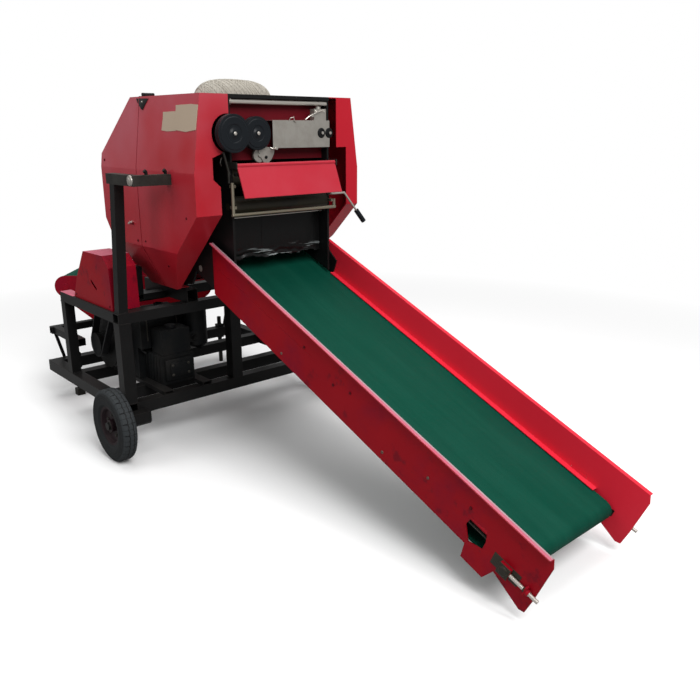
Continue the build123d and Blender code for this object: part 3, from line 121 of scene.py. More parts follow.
class Graph:
    """Adds and joins shader nodes in one node tree."""

    def __init__(self, tree: bpy.types.NodeTree) -> None:
        """Keeps the tree that the nodes go into."""
        self.tree = tree

    @classmethod
    def on(cls, owner: bpy.types.ID) -> Self:
        """Starts on the cleared nodes of a material or world.

        Args:
            owner: the material or world.

        Returns:
            The empty graph.
        """
        owner.use_nodes = True
        owner.node_tree.nodes.clear()
        return cls(owner.node_tree)

    def add(self, kind: str, inputs: dict | None = None, **settings: object) -> bpy.types.Node:
        """Adds a node, sets its properties and joins or fills its inputs.

        Args:
            kind: the node's type name, after ShaderNode.
            inputs: socket name or number to a value or an output socket.
            settings: properties of the node.

        Returns:
            The new node.
        """
        node = self.tree.nodes.new("ShaderNode" + kind)
        for name, value in settings.items():
            setattr(node, name, value)
        for name, value in (inputs or {}).items():
            socket = node.inputs[name]
            if isinstance(value, Socket):
                self.tree.links.new(value, socket)
            else:
                socket.default_value = (*value, 1.0) if socket.type == "RGBA" else value
        return node

    def maths(self, operation: str, *values: object, clamp: bool = False) -> Socket:
        """Adds a maths node.

        Args:
            operation: the maths operation.
            values: numbers or sockets, in order.
            clamp: whether the result is held between 0 and 1.

        Returns:
            The result.
        """
        return self.add("Math", dict(enumerate(values)), operation=operation, use_clamp=clamp).outputs[0]

    def times(self, first: object, second: object, clamp: bool = False) -> Socket:
        """Multiplies two numbers or sockets."""
        return self.maths("MULTIPLY", first, second, clamp=clamp)

    def blend(self, amount: object, first: object, second: object) -> Socket:
        """Mixes two colours.

        Args:
            amount: how much of the second colour shows.
            first: the colour at 0.
            second: the colour at 1.

        Returns:
            The mixed colour.
        """
        inputs = {0: amount, 6: first, 7: second}
        return self.add("Mix", inputs, data_type="RGBA", blend_type="MIX").outputs[2]

    def noise(self, vector: Socket, scale: object, detail: float, rough: float) -> Socket:
        """Adds a noise texture.

        Args:
            vector: the place.
            scale: the noise's scale.
            detail: how many layers it has.
            rough: how strong the finer layers are.

        Returns:
            Its factor.
        """
        inputs = {"Vector": vector, "Scale": scale, "Detail": detail, "Roughness": rough}
        return self.add("TexNoise", inputs).outputs["Fac"]

    def ramp(self, value: Socket, low: float, high: float) -> Socket:
        """Stretches a value so that low becomes 0 and high becomes 1.

        Args:
            value: the value to stretch.
            low: what becomes 0.
            high: what becomes 1.

        Returns:
            The stretched value.
        """
        inputs = {"Value": value, "From Min": low, "From Max": high}
        return self.add("MapRange", inputs, clamp=True).outputs["Result"]

    def place(self) -> Socket:
        """Gives the place on the machine."""
        return self.add("TexCoord").outputs["Object"]

    def height_of(self, vector: Socket) -> Socket:
        """Gives the upright part of a place or direction."""
        return self.add("SeparateXYZ", {0: vector}).outputs["Z"]

    def stretch(self, vector: Socket, scale: Point, turn: Point = (0.0, 0.0, 0.0)) -> Socket:
        """Stretches and turns a place, for a pattern that runs one way.

        Args:
            vector: the place.
            scale: the factor along each axis.
            turn: the angle about each axis.

        Returns:
            The changed place.
        """
        return self.add("Mapping", {"Vector": vector, "Scale": scale, "Rotation": turn}).outputs[0]

    def group(self, tree: bpy.types.NodeTree, **values: float) -> bpy.types.NodeOutputs:
        """Adds a shared effect with its own values and gives its outputs."""
        return self.add("Group", values, node_tree=tree).outputs

    def rounded(self, radius: object) -> Socket:
        """Gives the normal of a surface with rounded edges."""
        return self.add("Bevel", {"Radius": radius}, samples=BEVEL_SAMPLES).outputs[0]


class Effect(Graph):
    """A shared node group, with the place, the values given to it and the outputs that it makes."""

    def __init__(self, name: str, inputs: Iterable[str], fill: Callable[[Self], None]) -> None:
        """Builds the group.

        Args:
            name: the group's name.
            inputs: the names of its input values.
            fill: the method that makes its outputs.
        """
        super().__init__(bpy.data.node_groups.new(name, "ShaderNodeTree"))
        self.made: dict[str, Socket] = {}
        self._sockets(inputs, "INPUT")
        self.spot = self.place()
        self.given = self.tree.nodes.new("NodeGroupInput").outputs
        fill(self)
        self._sockets(self.made, "OUTPUT")
        out = self.tree.nodes.new("NodeGroupOutput")
        for label, socket in self.made.items():
            self.tree.links.new(socket, out.inputs[label])

    def _sockets(self, labels: Iterable[str], way: str) -> None:
        """Gives the group number sockets, all inputs or all outputs."""
        for label in labels:
            self.tree.interface.new_socket(name=label, in_out=way, socket_type="NodeSocketFloat")

    def mask(self, first: Socket, second: Socket) -> None:
        """Gives out the product of two masks, by the group's amount."""
        self.made["Mask"] = self.times(self.times(first, second), self.given["Amount"], clamp=True)

    def wear(self) -> None:
        """Worn edges: where a rounded normal leaves the true one, broken up by noise."""
        normals = {0: self.rounded(self.given["Radius"]), 1: self.add("NewGeometry").outputs["Normal"]}
        dot = self.add("VectorMath", normals, operation="DOT_PRODUCT").outputs["Value"]
        edge = self.ramp(self.maths("SUBTRACT", 1.0, dot), 0.04, 0.20)
        self.mask(edge, self.ramp(self.noise(self.spot, 38.0, 6.0, 0.7), 0.40, 0.66))

    def dust(self) -> None:
        """Dust that lies on upward faces and splashes near the floor."""
        up = self.ramp(self.height_of(self.add("NewGeometry").outputs["Normal"]), 0.15, 1.0)
        low = self.ramp(self.height_of(self.spot), 0.75, 0.0)
        lift = self.maths("ADD", self.times(up, 0.75), self.times(low, 0.30))
        cloud = self.ramp(self.noise(self.spot, self.given["Scale"], 8.0, 0.68), 0.36, 0.72)
        self.mask(self.maths("ADD", lift, 0.12), cloud)

    def grain(self) -> None:
        """A fine grain for the bump, and a soft large cloud for the shade."""
        self.made["Height"] = self.noise(self.spot, self.given["Scale"], 3.0, 0.5)
        self.made["Shade"] = self.noise(self.spot, 2.6, 5.0, 0.55)

    def scratches(self) -> None:
        """Thin scuffs, drawn out along X."""
        drawn = self.stretch(self.spot, (1.0, 9.0, 13.0), (0.0, 0.35, 0.12))
        lines = self.ramp(self.noise(drawn, self.given["Scale"], 7.0, 0.75), 0.63, 0.70)
        self.mask(lines, self.ramp(self.noise(self.spot, 3.1, 3.0, 0.5), 0.44, 0.66))


class Surface(Graph):
    """A material's graph with its place, colour and bump height, and the patterns that change these."""
    spot: Socket
    colour: Socket
    height: Socket

    def tint(self, amount: object, colour: object) -> None:
        """Mixes a second colour into the surface by an amount."""
        self.colour = self.blend(amount, self.colour, colour)

    def painted_top_highlight(self, amount: float) -> Socket:
        """Gives a painted highlight: a pale, cloudy lightening that thickens toward the top of a panel, where
        the light from above falls and reflects.

        Args:
            amount: how strong it is.

        Returns:
            Its mask.
        """
        upper = self.maths("MULTIPLY_ADD", self.ramp(self.height_of(self.spot), 1.05, 1.65), 0.75, 0.15)
        cloud = self.ramp(self.noise(self.spot, 1.9, 3.0, 0.5), 0.34, 0.66)
        return self.times(self.times(upper, cloud), amount, clamp=True)

    def weave(self) -> None:
        """Gives belting a fine square weave, rubbed paler in streaks."""
        inputs = {"Vector": self.spot, "Scale": WEAVE_SCALE, "Distortion": 0.6}
        threads = [self.add("TexWave", inputs, wave_type="BANDS", bands_direction=axis).outputs["Fac"]
                   for axis in "XY"]
        streaks = self.noise(self.stretch(self.spot, (0.6, 12.0, 0.6)), 1.6, 6.0, 0.7)
        self.tint(self.times(self.ramp(streaks, 0.45, 0.75), 0.25), (0.014, 0.095, 0.064))
        self.height = self.maths("MULTIPLY_ADD", self.times(*threads), 0.35, self.times(self.height, 0.4))

    def fibre(self) -> None:
        """Gives twine its twisted fibres."""
        fibres = self.noise(self.stretch(self.spot, (1.0, 6.0, 1.0), (0.4, 0.9, 0.5)), 160.0, 8.0, 0.75)
        self.colour = self.blend(self.ramp(fibres, 0.35, 0.75), (0.30, 0.27, 0.22), self.colour)
        self.height = self.maths("ADD", fibres, self.times(self.height, 0.3))

    def cast(self) -> None:
        """Gives castings a sandy roughness with oily patches."""
        oily = self.ramp(self.noise(self.spot, 9.0, 6.0, 0.6), 0.45, 0.65)
        self.tint(self.times(oily, 0.7), (0.012, 0.011, 0.010))
        self.height = self.maths("ADD", self.height, self.noise(self.spot, 120.0, 5.0, 0.6))

    def brushed(self) -> None:
        """Gives dull zinc its blotches and fine lines."""
        lines = self.noise(self.stretch(self.spot, (1.0, 1.0, 22.0)), 45.0, 5.0, 0.7)
        blotch = self.ramp(self.noise(self.spot, 16.0, 5.0, 0.7), 0.40, 0.70)
        self.tint(self.times(blotch, 0.45), (0.22, 0.20, 0.17))
        self.height = self.maths("ADD", self.times(self.height, 0.5), self.times(lines, 0.4))

    def stain(self) -> None:
        """Gives weathered red paint dark, uneven patches and spots."""
        broad = self.ramp(self.noise(self.spot, 3.2, 5.0, 0.62), 0.47, 0.66)
        specks = self.ramp(self.noise(self.spot, 15.0, 4.0, 0.6), 0.60, 0.70)
        self.tint(self.times(broad, 0.60), (0.15, 0.003, 0.020))
        self.tint(self.times(specks, 0.50), (0.07, 0.004, 0.012))
        self.height = self.times(self.height, 0.14)

    def painted_sheen_streaks(self) -> None:
        """Paints broken bright streaks along the creases at the low edge of black sheeting, a painted
        reflection of the light on the crumpled sheet.
        """
        low = self.ramp(self.height_of(self.spot), 1.005, 0.957)
        wide = self.noise(self.stretch(self.spot, (0.5, 2.6, 26.0)), 2.4, 4.0, 0.55)
        shine = self.times(self.ramp(wide, 0.57, 0.64), low)
        self.tint(self.times(shine, 0.75), (0.30, 0.33, 0.33))

    def tread(self) -> None:
        """Cuts grooves round the tyre, sipes across its blocks and ribs on its walls, and paints the cuts
        nearly black as painted shade in the grooves.
        """
        low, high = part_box("tyre_near")
        axle = ((low.x + high.x) / 2, 0.0, (low.z + high.z) / 2)
        arm = self.add("VectorMath", {0: self.spot, 1: axle}, operation="SUBTRACT").outputs[0]
        x, y, z = self.add("SeparateXYZ", {0: arm}).outputs[:3]
        reach = self.maths("SQRT", self.maths("ADD", self.times(x, x), self.times(z, z)))
        tread = self.ramp(reach, 0.158, 0.164)
        turn = self.maths("ARCTAN2", z, x)
        across = self.maths("SUBTRACT", self.maths("ABSOLUTE", y), WHEEL_Y * MM)
        zigzag = self.times(self.maths("PINGPONG", self.times(turn, 12.7), 1.0), 0.004)
        middle = self.maths("ABSOLUTE", self.maths("ADD", across, zigzag))
        groove = self.ramp(self.maths("ABSOLUTE", self.maths("SUBTRACT", middle, 0.011)), 0.0032, 0.0018)
        sipe = self.ramp(self.maths("ABSOLUTE", self.maths("SINE", self.times(turn, 20.0))), 0.13, 0.07)
        rib = self.ramp(self.maths("SINE", self.times(reach, 900.0)), 0.80, 0.95)
        cut = self.times(tread, self.maths("MAXIMUM", groove, sipe))
        wall = self.times(rib, self.maths("SUBTRACT", 1.0, tread))
        self.tint(self.times(tread, 0.7), (0.034, 0.039, 0.042))
        # Painted shade: the bumped grooves and sipes are darkened as if in shadow.
        self.tint(self.times(cut, 0.90), (0.004, 0.004, 0.004))
        level = self.maths("ADD", self.times(self.height, 0.3), self.times(wall, 0.3))
        self.height = self.maths("SUBTRACT", level, self.times(cut, 1.5))


@dataclass(frozen=True)
class Finish:
    """One surface finish, how worn and dusty it is, and how much painted highlight lies on its upper panels.
    """
    name: str
    slot: Slot
    base: Colour
    shade: Colour
    worn: Colour
    dust: Colour = (0.33, 0.29, 0.24)
    metallic: float = 0.0
    roughness: float = 0.4
    rough_worn: float = 0.6
    wear: float = 0.6
    wear_radius: float = 0.004
    scratch: float = 0.3
    dusting: float = 0.35
    dust_scale: float = 4.0
    grain_scale: float = 260.0
    grain_bump: float = 0.05
    coat: float = 0.0
    specular: float = 0.5
    round_edge: float = 0.0015
    # How strongly the upper panels are lightened by a painted highlight.
    painted_top_highlight: float = 0.0
    pattern: Callable[[Surface], None] | None = None

    def build(self, effects: dict[str, bpy.types.NodeTree]) -> bpy.types.Material:
        """Builds the material.

        Args:
            effects: the shared node groups by name.

        Returns:
            The finished material.
        """
        material = bpy.data.materials.new(self.name)
        graph = Surface.on(material)
        graph.spot = graph.place()
        grain = graph.group(effects["Grain"], Scale=self.grain_scale)
        wear = graph.group(effects["EdgeWear"], Radius=self.wear_radius, Amount=self.wear)["Mask"]
        dust = graph.group(effects["Dust"], Scale=self.dust_scale, Amount=self.dusting)["Mask"]
        scuffs = graph.group(effects["Scratches"], Scale=SCUFF_SCALE, Amount=self.scratch)["Mask"]
        graph.colour = graph.blend(grain["Shade"], self.base, self.shade)
        graph.height = grain["Height"]
        if self.pattern:
            self.pattern(graph)
        # Painted highlight: the upper panels are lightened in the finish's dust colour, standing in for light
        # from above.
        if self.painted_top_highlight:
            graph.tint(graph.painted_top_highlight(self.painted_top_highlight), self.dust)
        marks = graph.maths("MAXIMUM", wear, scuffs)
        graph.tint(marks, self.worn)
        graph.tint(dust, self.dust)
        rough = graph.maths("MULTIPLY_ADD", marks, self.rough_worn - self.roughness, self.roughness)
        bump = graph.add("Bump", {
            "Strength": max(self.grain_bump, PATTERN_BUMP) if self.pattern else self.grain_bump,
            "Distance": BUMP_DEPTH, "Height": graph.height, "Normal": graph.rounded(self.round_edge),
        })
        shader = graph.add("BsdfPrincipled", {
            "Base Color": graph.colour, "Normal": bump.outputs[0],
            "Roughness": graph.maths("MULTIPLY_ADD", dust, 0.5, rough, clamp=True),
            "Metallic": graph.times(self.metallic, graph.maths("SUBTRACT", 1.0, dust)),
            "Coat Weight": self.coat, "Coat Roughness": COAT_ROUGHNESS, "Specular IOR Level": self.specular,
        })
        graph.add("OutputMaterial", {"Surface": shader.outputs[0]})
        material.diffuse_color = (*self.base, 1.0)
        return material


# Red enamel of the near cover and door. Its pink dust colour also serves as the painted highlight on the
# upper panels.
RED = Finish("RedEnamel", Slot.RED, (0.42, 0.005, 0.014), (0.33, 0.004, 0.010), (0.11, 0.030, 0.026),
             dust=(0.44, 0.165, 0.215), roughness=0.34, rough_worn=0.62, wear=0.45, scratch=0.16,
             dusting=0.22, coat=0.14, specular=0.20, grain_bump=0.03, painted_top_highlight=0.62)
# Painted light: a lighter copy of the red enamel for the far cover, which faces the light.
RED_LIT = replace(RED, name="RedEnamelPaintedLitCover", base=(0.47, 0.009, 0.022), shade=(0.40, 0.006, 0.017),
                  worn=(0.20, 0.035, 0.035), dust=(0.52, 0.14, 0.19), roughness=0.32, rough_worn=0.6,
                  wear=0.35, scratch=0.12, dusting=0.12, coat=0.16, specular=0.22, painted_top_highlight=0.0)
# Painted light: a much lighter copy of the red enamel for the far conveyor plate's lit inner face and the
# blank in its window.
RED_SUN = replace(RED_LIT, name="RedEnamelPaintedSunlit", base=(0.70, 0.020, 0.042), shade=(0.62, 0.014, 0.032),
                  worn=(0.24, 0.035, 0.035), dust=(0.58, 0.10, 0.15), roughness=0.34, scratch=0.20,
                  coat=0.10, specular=0.20)
# Painted light: a lighter, pinker copy of the red enamel for the front flap, which faces the light.
RED_FLAP_PAINTED_LIT = replace(RED_LIT, name="RedEnamelPaintedLitFlap", base=(0.44, 0.018, 0.034), shade=(0.38, 0.012, 0.026),
                   worn=(0.20, 0.035, 0.040), dust=(0.50, 0.20, 0.25), roughness=0.34, dusting=0.20,
                   specular=0.25)
# Painted shade with stains: a darker copy of the red enamel, with stain patches, for the near conveyor plate,
# the belt guard, the wrap table and their small parts, which lie in shade.
RED_SHADED_STAINED = Finish("RedStainedPaintedShade", Slot.RED, (0.33, 0.003, 0.009), (0.24, 0.002, 0.008), (0.08, 0.012, 0.016),
                  dust=(0.13, 0.004, 0.018), rough_worn=0.65, scratch=0.60, dusting=0.45, dust_scale=5.0,
                  coat=0.04, specular=0.08, pattern=Surface.stain)
# Painted highlight: a pale pink red laid on the near conveyor flange's edge, the guard's top and a deck
# corner, where the light glances off.
PAINTED_HIGHLIGHT_RED = Finish("RedPaintedHighlight", Slot.RED, (0.50, 0.10, 0.155), (0.42, 0.07, 0.12), (0.42, 0.20, 0.25),
               dust=(0.50, 0.29, 0.32), roughness=0.5, wear=0.2, scratch=0.4, dusting=0.30, specular=0.3)
# Painted highlight: a grey pink for the bend of the near conveyor flange, where the light catches it.
FLANGE_PAINTED_HIGHLIGHT = Finish("FlangeBendPaintedHighlight", Slot.RED, (0.36, 0.25, 0.27), (0.28, 0.17, 0.19), (0.45, 0.10, 0.12),
                     dust=(0.45, 0.40, 0.40), roughness=0.6, wear=0.3, scratch=0.4, dusting=0.4,
                     specular=0.3)
DARK_RED = Finish("DarkRed", Slot.RED, (0.125, 0.004, 0.009), (0.075, 0.003, 0.007), (0.05, 0.015, 0.018),
                  dust=(0.14, 0.035, 0.04), roughness=0.5, dusting=0.12, specular=0.10)
BLACK = Finish("BlackPaint", Slot.BLACK, (0.0045, 0.0045, 0.0048), (0.007, 0.007, 0.007),
               (0.036, 0.028, 0.024), dust=(0.085, 0.078, 0.070), roughness=0.42, rough_worn=0.7,
               dusting=0.16, grain_bump=0.08, coat=0.03, specular=0.16)
RIM = Finish("RimPaint", Slot.BLACK, (0.012, 0.006, 0.008), (0.018, 0.008, 0.010), (0.045, 0.030, 0.028),
             dust=(0.09, 0.06, 0.06), roughness=0.5, wear=0.4, dusting=0.18, specular=0.16)
STEEL = Finish("DullZinc", Slot.STEEL, (0.44, 0.42, 0.38), (0.34, 0.32, 0.29), (0.60, 0.59, 0.56),
               metallic=0.70, roughness=0.45, rough_worn=0.35, wear=0.3, dusting=0.3,
               pattern=Surface.brushed)
BAR = Finish("WornSteel", Slot.STEEL, (0.30, 0.27, 0.20), (0.20, 0.18, 0.13), (0.50, 0.47, 0.40),
             metallic=0.7, roughness=0.42, wear=0.4, scratch=0.5, dusting=0.25)
DARK_STEEL = Finish("DarkSteel", Slot.STEEL, (0.036, 0.034, 0.029), (0.022, 0.021, 0.018),
                    (0.13, 0.12, 0.10), dust=(0.16, 0.14, 0.12), metallic=0.5, roughness=0.5, scratch=0.5,
                    dusting=0.25, specular=0.3, pattern=Surface.cast)
SOOT = Finish("OiledSteel", Slot.STEEL, (0.026, 0.023, 0.013), (0.016, 0.014, 0.009), (0.08, 0.07, 0.045),
              dust=(0.14, 0.12, 0.08), metallic=0.3, scratch=0.6, dusting=0.18, specular=0.35,
              pattern=Surface.cast)
RUST = Finish("RustedBolt", Slot.STEEL, (0.13, 0.060, 0.045), (0.07, 0.030, 0.022), (0.34, 0.26, 0.22),
              metallic=0.3, roughness=0.55, scratch=0.4, dusting=0.2)
BRIGHT = Finish("BrightSteel", Slot.STEEL, (0.66, 0.62, 0.57), (0.50, 0.47, 0.42), (0.80, 0.78, 0.75),
                metallic=0.8, roughness=0.30, rough_worn=0.35, wear=0.2, scratch=0.1, dusting=0.10)
IRON = Finish("CastIron", Slot.IRON, (0.0045, 0.0052, 0.0058), (0.003, 0.0036, 0.004),
              (0.032, 0.028, 0.027), dust=(0.065, 0.062, 0.060), metallic=0.1, roughness=0.50, wear=0.5,
              scratch=0.4, dusting=0.12, specular=0.15, pattern=Surface.cast)
TYRE = Finish("TyreRubber", Slot.TYRE, (0.009, 0.010, 0.011), (0.016, 0.018, 0.019), (0.04, 0.04, 0.04),
              dust=(0.085, 0.090, 0.092), roughness=0.72, wear=0.5, dusting=0.20, dust_scale=9.0,
              grain_bump=0.2, grain_scale=120.0, specular=0.2, pattern=Surface.tread)
RUBBER = Finish("BlackRubber", Slot.RUBBER, (0.007, 0.007, 0.008), (0.011, 0.011, 0.012),
                (0.04, 0.04, 0.04), dust=(0.09, 0.085, 0.08), roughness=0.42, wear=0.3, dusting=0.14,
                specular=0.18)
# The curtain's pattern paints bright reflection streaks near its low edge.
SHEETING = Finish("CurtainSheeting", Slot.RUBBER, (0.003, 0.003, 0.003), (0.005, 0.005, 0.005),
                  (0.015, 0.015, 0.015), dust=(0.03, 0.03, 0.03), roughness=0.30, wear=0.05, scratch=0.10,
                  dusting=0.05, coat=0.06, specular=0.18, grain_bump=0.02, pattern=Surface.painted_sheen_streaks)
BELT = Finish("GreenBelting", Slot.BELT, (0.001, 0.054, 0.033), (0.003, 0.040, 0.026), (0.03, 0.09, 0.07),
              dust=(0.035, 0.11, 0.085), roughness=0.50, wear=0.3, scratch=0.15, dusting=0.08,
              dust_scale=2.5, specular=0.04, pattern=Surface.weave)
PLASTIC = Finish("BlackPlastic", Slot.PLASTIC, (0.005, 0.007, 0.009), (0.008, 0.010, 0.013),
                 (0.03, 0.03, 0.03), dust=(0.08, 0.08, 0.085), roughness=0.38, wear=0.2, scratch=0.2,
                 dusting=0.06, specular=0.18)
TWINE = Finish("BaleTwine", Slot.TWINE, (0.44, 0.42, 0.38), (0.34, 0.33, 0.30), (0.50, 0.48, 0.45),
               dust=(0.33, 0.32, 0.29), roughness=0.9, wear=0.0, scratch=0.0, dusting=0.3,
               pattern=Surface.fibre)
PAPER = Finish("BlankPlate", Slot.STEEL, (0.44, 0.34, 0.25), (0.36, 0.28, 0.20), (0.30, 0.20, 0.13),
               roughness=0.55, wear=0.8, wear_radius=0.002, scratch=0.6, dusting=0.2, round_edge=0.0003)
PALE = Finish("PaleEdging", Slot.BELT, (0.46, 0.43, 0.40), (0.36, 0.33, 0.30), (0.55, 0.52, 0.48),
              dust=(0.40, 0.37, 0.33), roughness=0.6, wear=0.2, dusting=0.4, pattern=Surface.weave)

FINISH_NODES: dict[Finish, str] = {
    BLACK: "base_side_rails base_cross_rails deck_legs deck_side_beams deck_cross_beams chamber_sills"
           " stub_axles stand_collars chamber_plates top_panels door_plates hinge_leaves hinge_ears stay_post"
           " drive_rails head_brackets table_pedestal table_subframe",
    RED: "cover_near door_shell door_covers",
    RED_LIT: "cover_far",
    RED_SUN: "conveyor_side_far",
    RED_FLAP_PAINTED_LIT: "guard_flap",
    RED_SHADED_STAINED: "belt_guard table_plates table_base conveyor_side_near conveyor_ties",
    DARK_RED: "twine_tray",
    RIM: "rim_near rim_far",
    TYRE: "tyre_near tyre_far",
    STEEL: "twine_rail table_rollers conveyor_rollers",
    BAR: "roller_guard",
    DARK_STEEL: "stand_near stand_far flap_hinge stay_bar conveyor_bed",
    SOOT: "chamber_rollers feed_drum door_rollers",
    BRIGHT: "front_rods hand_lever",
    IRON: "belt_pulleys gearbox engine_block air_cleaner",
    RUBBER: "drive_belt",
    SHEETING: "inlet_curtain",
    BELT: "table_belt conveyor_belt",
    PLASTIC: "twine_pulleys lever_grip",
    TWINE: "twine_ball",
}


def facing(axis: Point) -> Matrix:
    """Turns upright things so that they point along an axis."""
    return Vector(axis).to_track_quat("Z", "Y").to_matrix().to_4x4()


def circle(centre: Point, radius: float, count: int, start: float = 0.0) -> list[Point]:
    """Gives points round a circle that faces across the machine.

    Args:
        centre: the circle's middle.
        radius: its radius.
        count: how many points it has.
        start: the angle of the first point.

    Returns:
        The points.
    """
    x, y, z = centre
    angles = [math.tau * index / count + start for index in range(count)]
    return [(x + radius * math.cos(angle), y, z + radius * math.sin(angle)) for angle in angles]


@dataclass
class Draft:
    """A piece in the making, in millimetres from the drawing's zero point and the floor.

    Its place is a local frame inside the machine.
    """
    name: str
    finish: Finish
    body: Body = Body.FRAME
    place: Matrix = field(default_factory=lambda: Matrix.Identity(4))
    bm: bmesh.types.BMesh = field(default_factory=bmesh.new)

    def _absorb(self, part: bmesh.types.BMesh, bevel: float = 0.0) -> None:
        """Bevels a part, copies it into the mesh at the draft's place and frees it.

        Args:
            part: the part.
            bevel: the width of its bevel.
        """
        if bevel:
            bmesh.ops.bevel(part, geom=part.edges[:], offset=bevel, segments=2, profile=0.5, affect="EDGES",
                            material=-1)
        part.verts.index_update()
        made = [self.bm.verts.new(self.place @ vert.co) for vert in part.verts]
        for face in part.faces:
            self.bm.faces.new([made[vert.index] for vert in face.verts])
        part.free()

    def block(self, low: Point, high: Point, bevel: float) -> None:
        """Adds a bevelled block between two corners.

        Args:
            low: the lowest corner.
            high: the highest corner.
            bevel: the width of its bevel.
        """
        part = bmesh.new()
        size = Vector(high) - Vector(low)
        middle = (Vector(high) + Vector(low)) / 2
        spot = Matrix.Translation(middle) @ Matrix.Diagonal((*size, 1.0))
        bmesh.ops.create_cube(part, size=1.0, matrix=spot)
        self._absorb(part, bevel)

    def rod(self, start: Point, end: Point, radius: float, sides: int = 16) -> None:
        """Adds a round bar between two points.

        Args:
            start: the middle of its first end.
            end: the middle of its other end.
            radius: its radius.
            sides: how many sides it has.
        """
        part = bmesh.new()
        run = Vector(end) - Vector(start)
        middle = (Vector(start) + Vector(end)) / 2
        bmesh.ops.create_cone(part, cap_ends=True, segments=sides, radius1=radius, radius2=radius,
                              depth=run.length, matrix=Matrix.Translation(middle) @ facing(run))
        self._absorb(part)

    def lathe(self, profile: Sequence[Point], base: Point, axis: Point, sides: int = 32) -> None:
        """Adds a turned shape.

        Args:
            profile: radius and height pairs, from one end to the other.
            base: where height 0 lies.
            axis: the direction of height.
            sides: how many sides it has.
        """
        part = bmesh.new()
        line = [part.verts.new((radius, 0.0, height)) for radius, height in profile]
        edges = [part.edges.new(pair) for pair in zip(line, line[1:])]
        bmesh.ops.spin(part, geom=line + edges, cent=(0, 0, 0), axis=UP, angle=math.tau, steps=sides,
                       use_merge=True)
        bmesh.ops.remove_doubles(part, verts=part.verts[:], dist=1e-4)
        bmesh.ops.transform(part, matrix=Matrix.Translation(base) @ facing(axis), verts=part.verts[:])
        self._absorb(part)

    def loft(self, rings: Sequence[Sequence[Point]], closed: bool = False) -> None:
        """Adds a skin over rings of points.

        Args:
            rings: the rings, all with the same number of points.
            closed: whether the last ring joins the first.
        """
        part = bmesh.new()
        rows = [[part.verts.new(point) for point in ring] for ring in rings]
        for first, second in list(zip(rows, rows[1:])) + ([(rows[-1], rows[0])] if closed else []):
            for corner in range(len(first)):
                follow = (corner + 1) % len(first)
                part.faces.new((first[corner], first[follow], second[follow], second[corner]))
        if not closed:
            part.faces.new(rows[0][::-1])
            part.faces.new(rows[-1])
        self._absorb(part)

    def pipe(self, points: Sequence[Point], radius: float, sides: int = 8, closed: bool = False) -> None:
        """Adds a round bar that follows a line of points.

        Args:
            points: the line.
            radius: the bar's radius.
            sides: how many sides it has.
            closed: whether the line joins up.
        """
        line = [Vector(point) for point in points]
        count = len(line)
        turns = [math.tau * corner / sides for corner in range(sides)]
        rings = []
        side = Vector(UP)
        for index, point in enumerate(line):
            before = line[index - 1] if index or closed else point
            after = line[(index + 1) % count] if index < count - 1 or closed else point
            along = (after - before).normalized()
            side = side - along * side.dot(along)
            if side.length < 1e-3:
                side = along.orthogonal()
            side.normalize()
            up = along.cross(side)
            rings.append([point + (side * math.cos(turn) + up * math.sin(turn)) * radius for turn in turns])
        self.loft(rings, closed)

    def plate(self, outline: Sequence[Point], depth: float, spot: Matrix, bevel: float = 0.0) -> None:
        """Adds a flat plate with any outline.

        Args:
            outline: its corners, in X and Y of the spot.
            depth: its thickness along Z of the spot.
            spot: where it lies.
            bevel: the width of its bevel.
        """
        part = bmesh.new()
        face = part.faces.new([part.verts.new((x, y, 0.0)) for x, y in outline])
        raised = bmesh.ops.extrude_face_region(part, geom=[face])["geom"]
        top = [item for item in raised if isinstance(item, bmesh.types.BMVert)]
        bmesh.ops.translate(part, verts=top, vec=(0, 0, depth))
        bmesh.ops.transform(part, matrix=spot, verts=part.verts[:])
        self._absorb(part, bevel)

    def bolts(self, places: Iterable[Point], axis: Point, size: float = 8.0, sunk: float = 1.0) -> None:
        """Adds hexagon bolt heads with washers, all facing one way.

        Args:
            places: the middle of each bolt on the surface.
            axis: the way that the heads face.
            size: the thread size.
            sunk: how far the washer reaches into the surface.
        """
        washer, top = 0.18 * size, 0.75 * size
        head = [(0, top), (0.55 * size, top), (0.86 * size, 0.62 * size), (0.90 * size, washer), (0, washer)]
        home = self.place
        for index, place in enumerate(places):
            turn = facing(axis) @ Matrix.Rotation(0.7 * index, 4, "Z")
            self.place = home @ Matrix.Translation(place) @ turn
            self.rod((0, 0, -sunk), (0, 0, washer), size * 1.05, 20)
            self.lathe(head, (0, 0, 0), UP, 6)
        self.place = home

    def deliver(self, shop: "Workshop") -> bpy.types.Object:
        """Turns the mesh into a piece that rides on its body.

        Args:
            shop: the workshop with the finishes.

        Returns:
            The new object.
        """
        spot = Matrix.Translation((shop.origin_x, 0, 0)) @ Matrix.Diagonal((MM, MM, MM, 1.0))
        bmesh.ops.transform(self.bm, matrix=spot, verts=self.bm.verts[:])
        bmesh.ops.recalc_face_normals(self.bm, faces=self.bm.faces[:])
        for face in self.bm.faces:
            face.smooth = True
        for edge in self.bm.edges:
            edge.smooth = len(edge.link_faces) == 2 and edge.calc_face_angle(0.0) < SHARP_ANGLE
        mesh = bpy.data.meshes.new(self.name)
        self.bm.to_mesh(mesh)
        self.bm.free()
        piece = bpy.data.objects.new(self.name, mesh)
        bpy.context.scene.collection.objects.link(piece)
        mesh.materials.append(shop.material(self.finish))
        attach(piece, self.body.value)
        LOG.info("%s: %d faces on %s", self.name, len(mesh.polygons), self.body.value)
        return piece


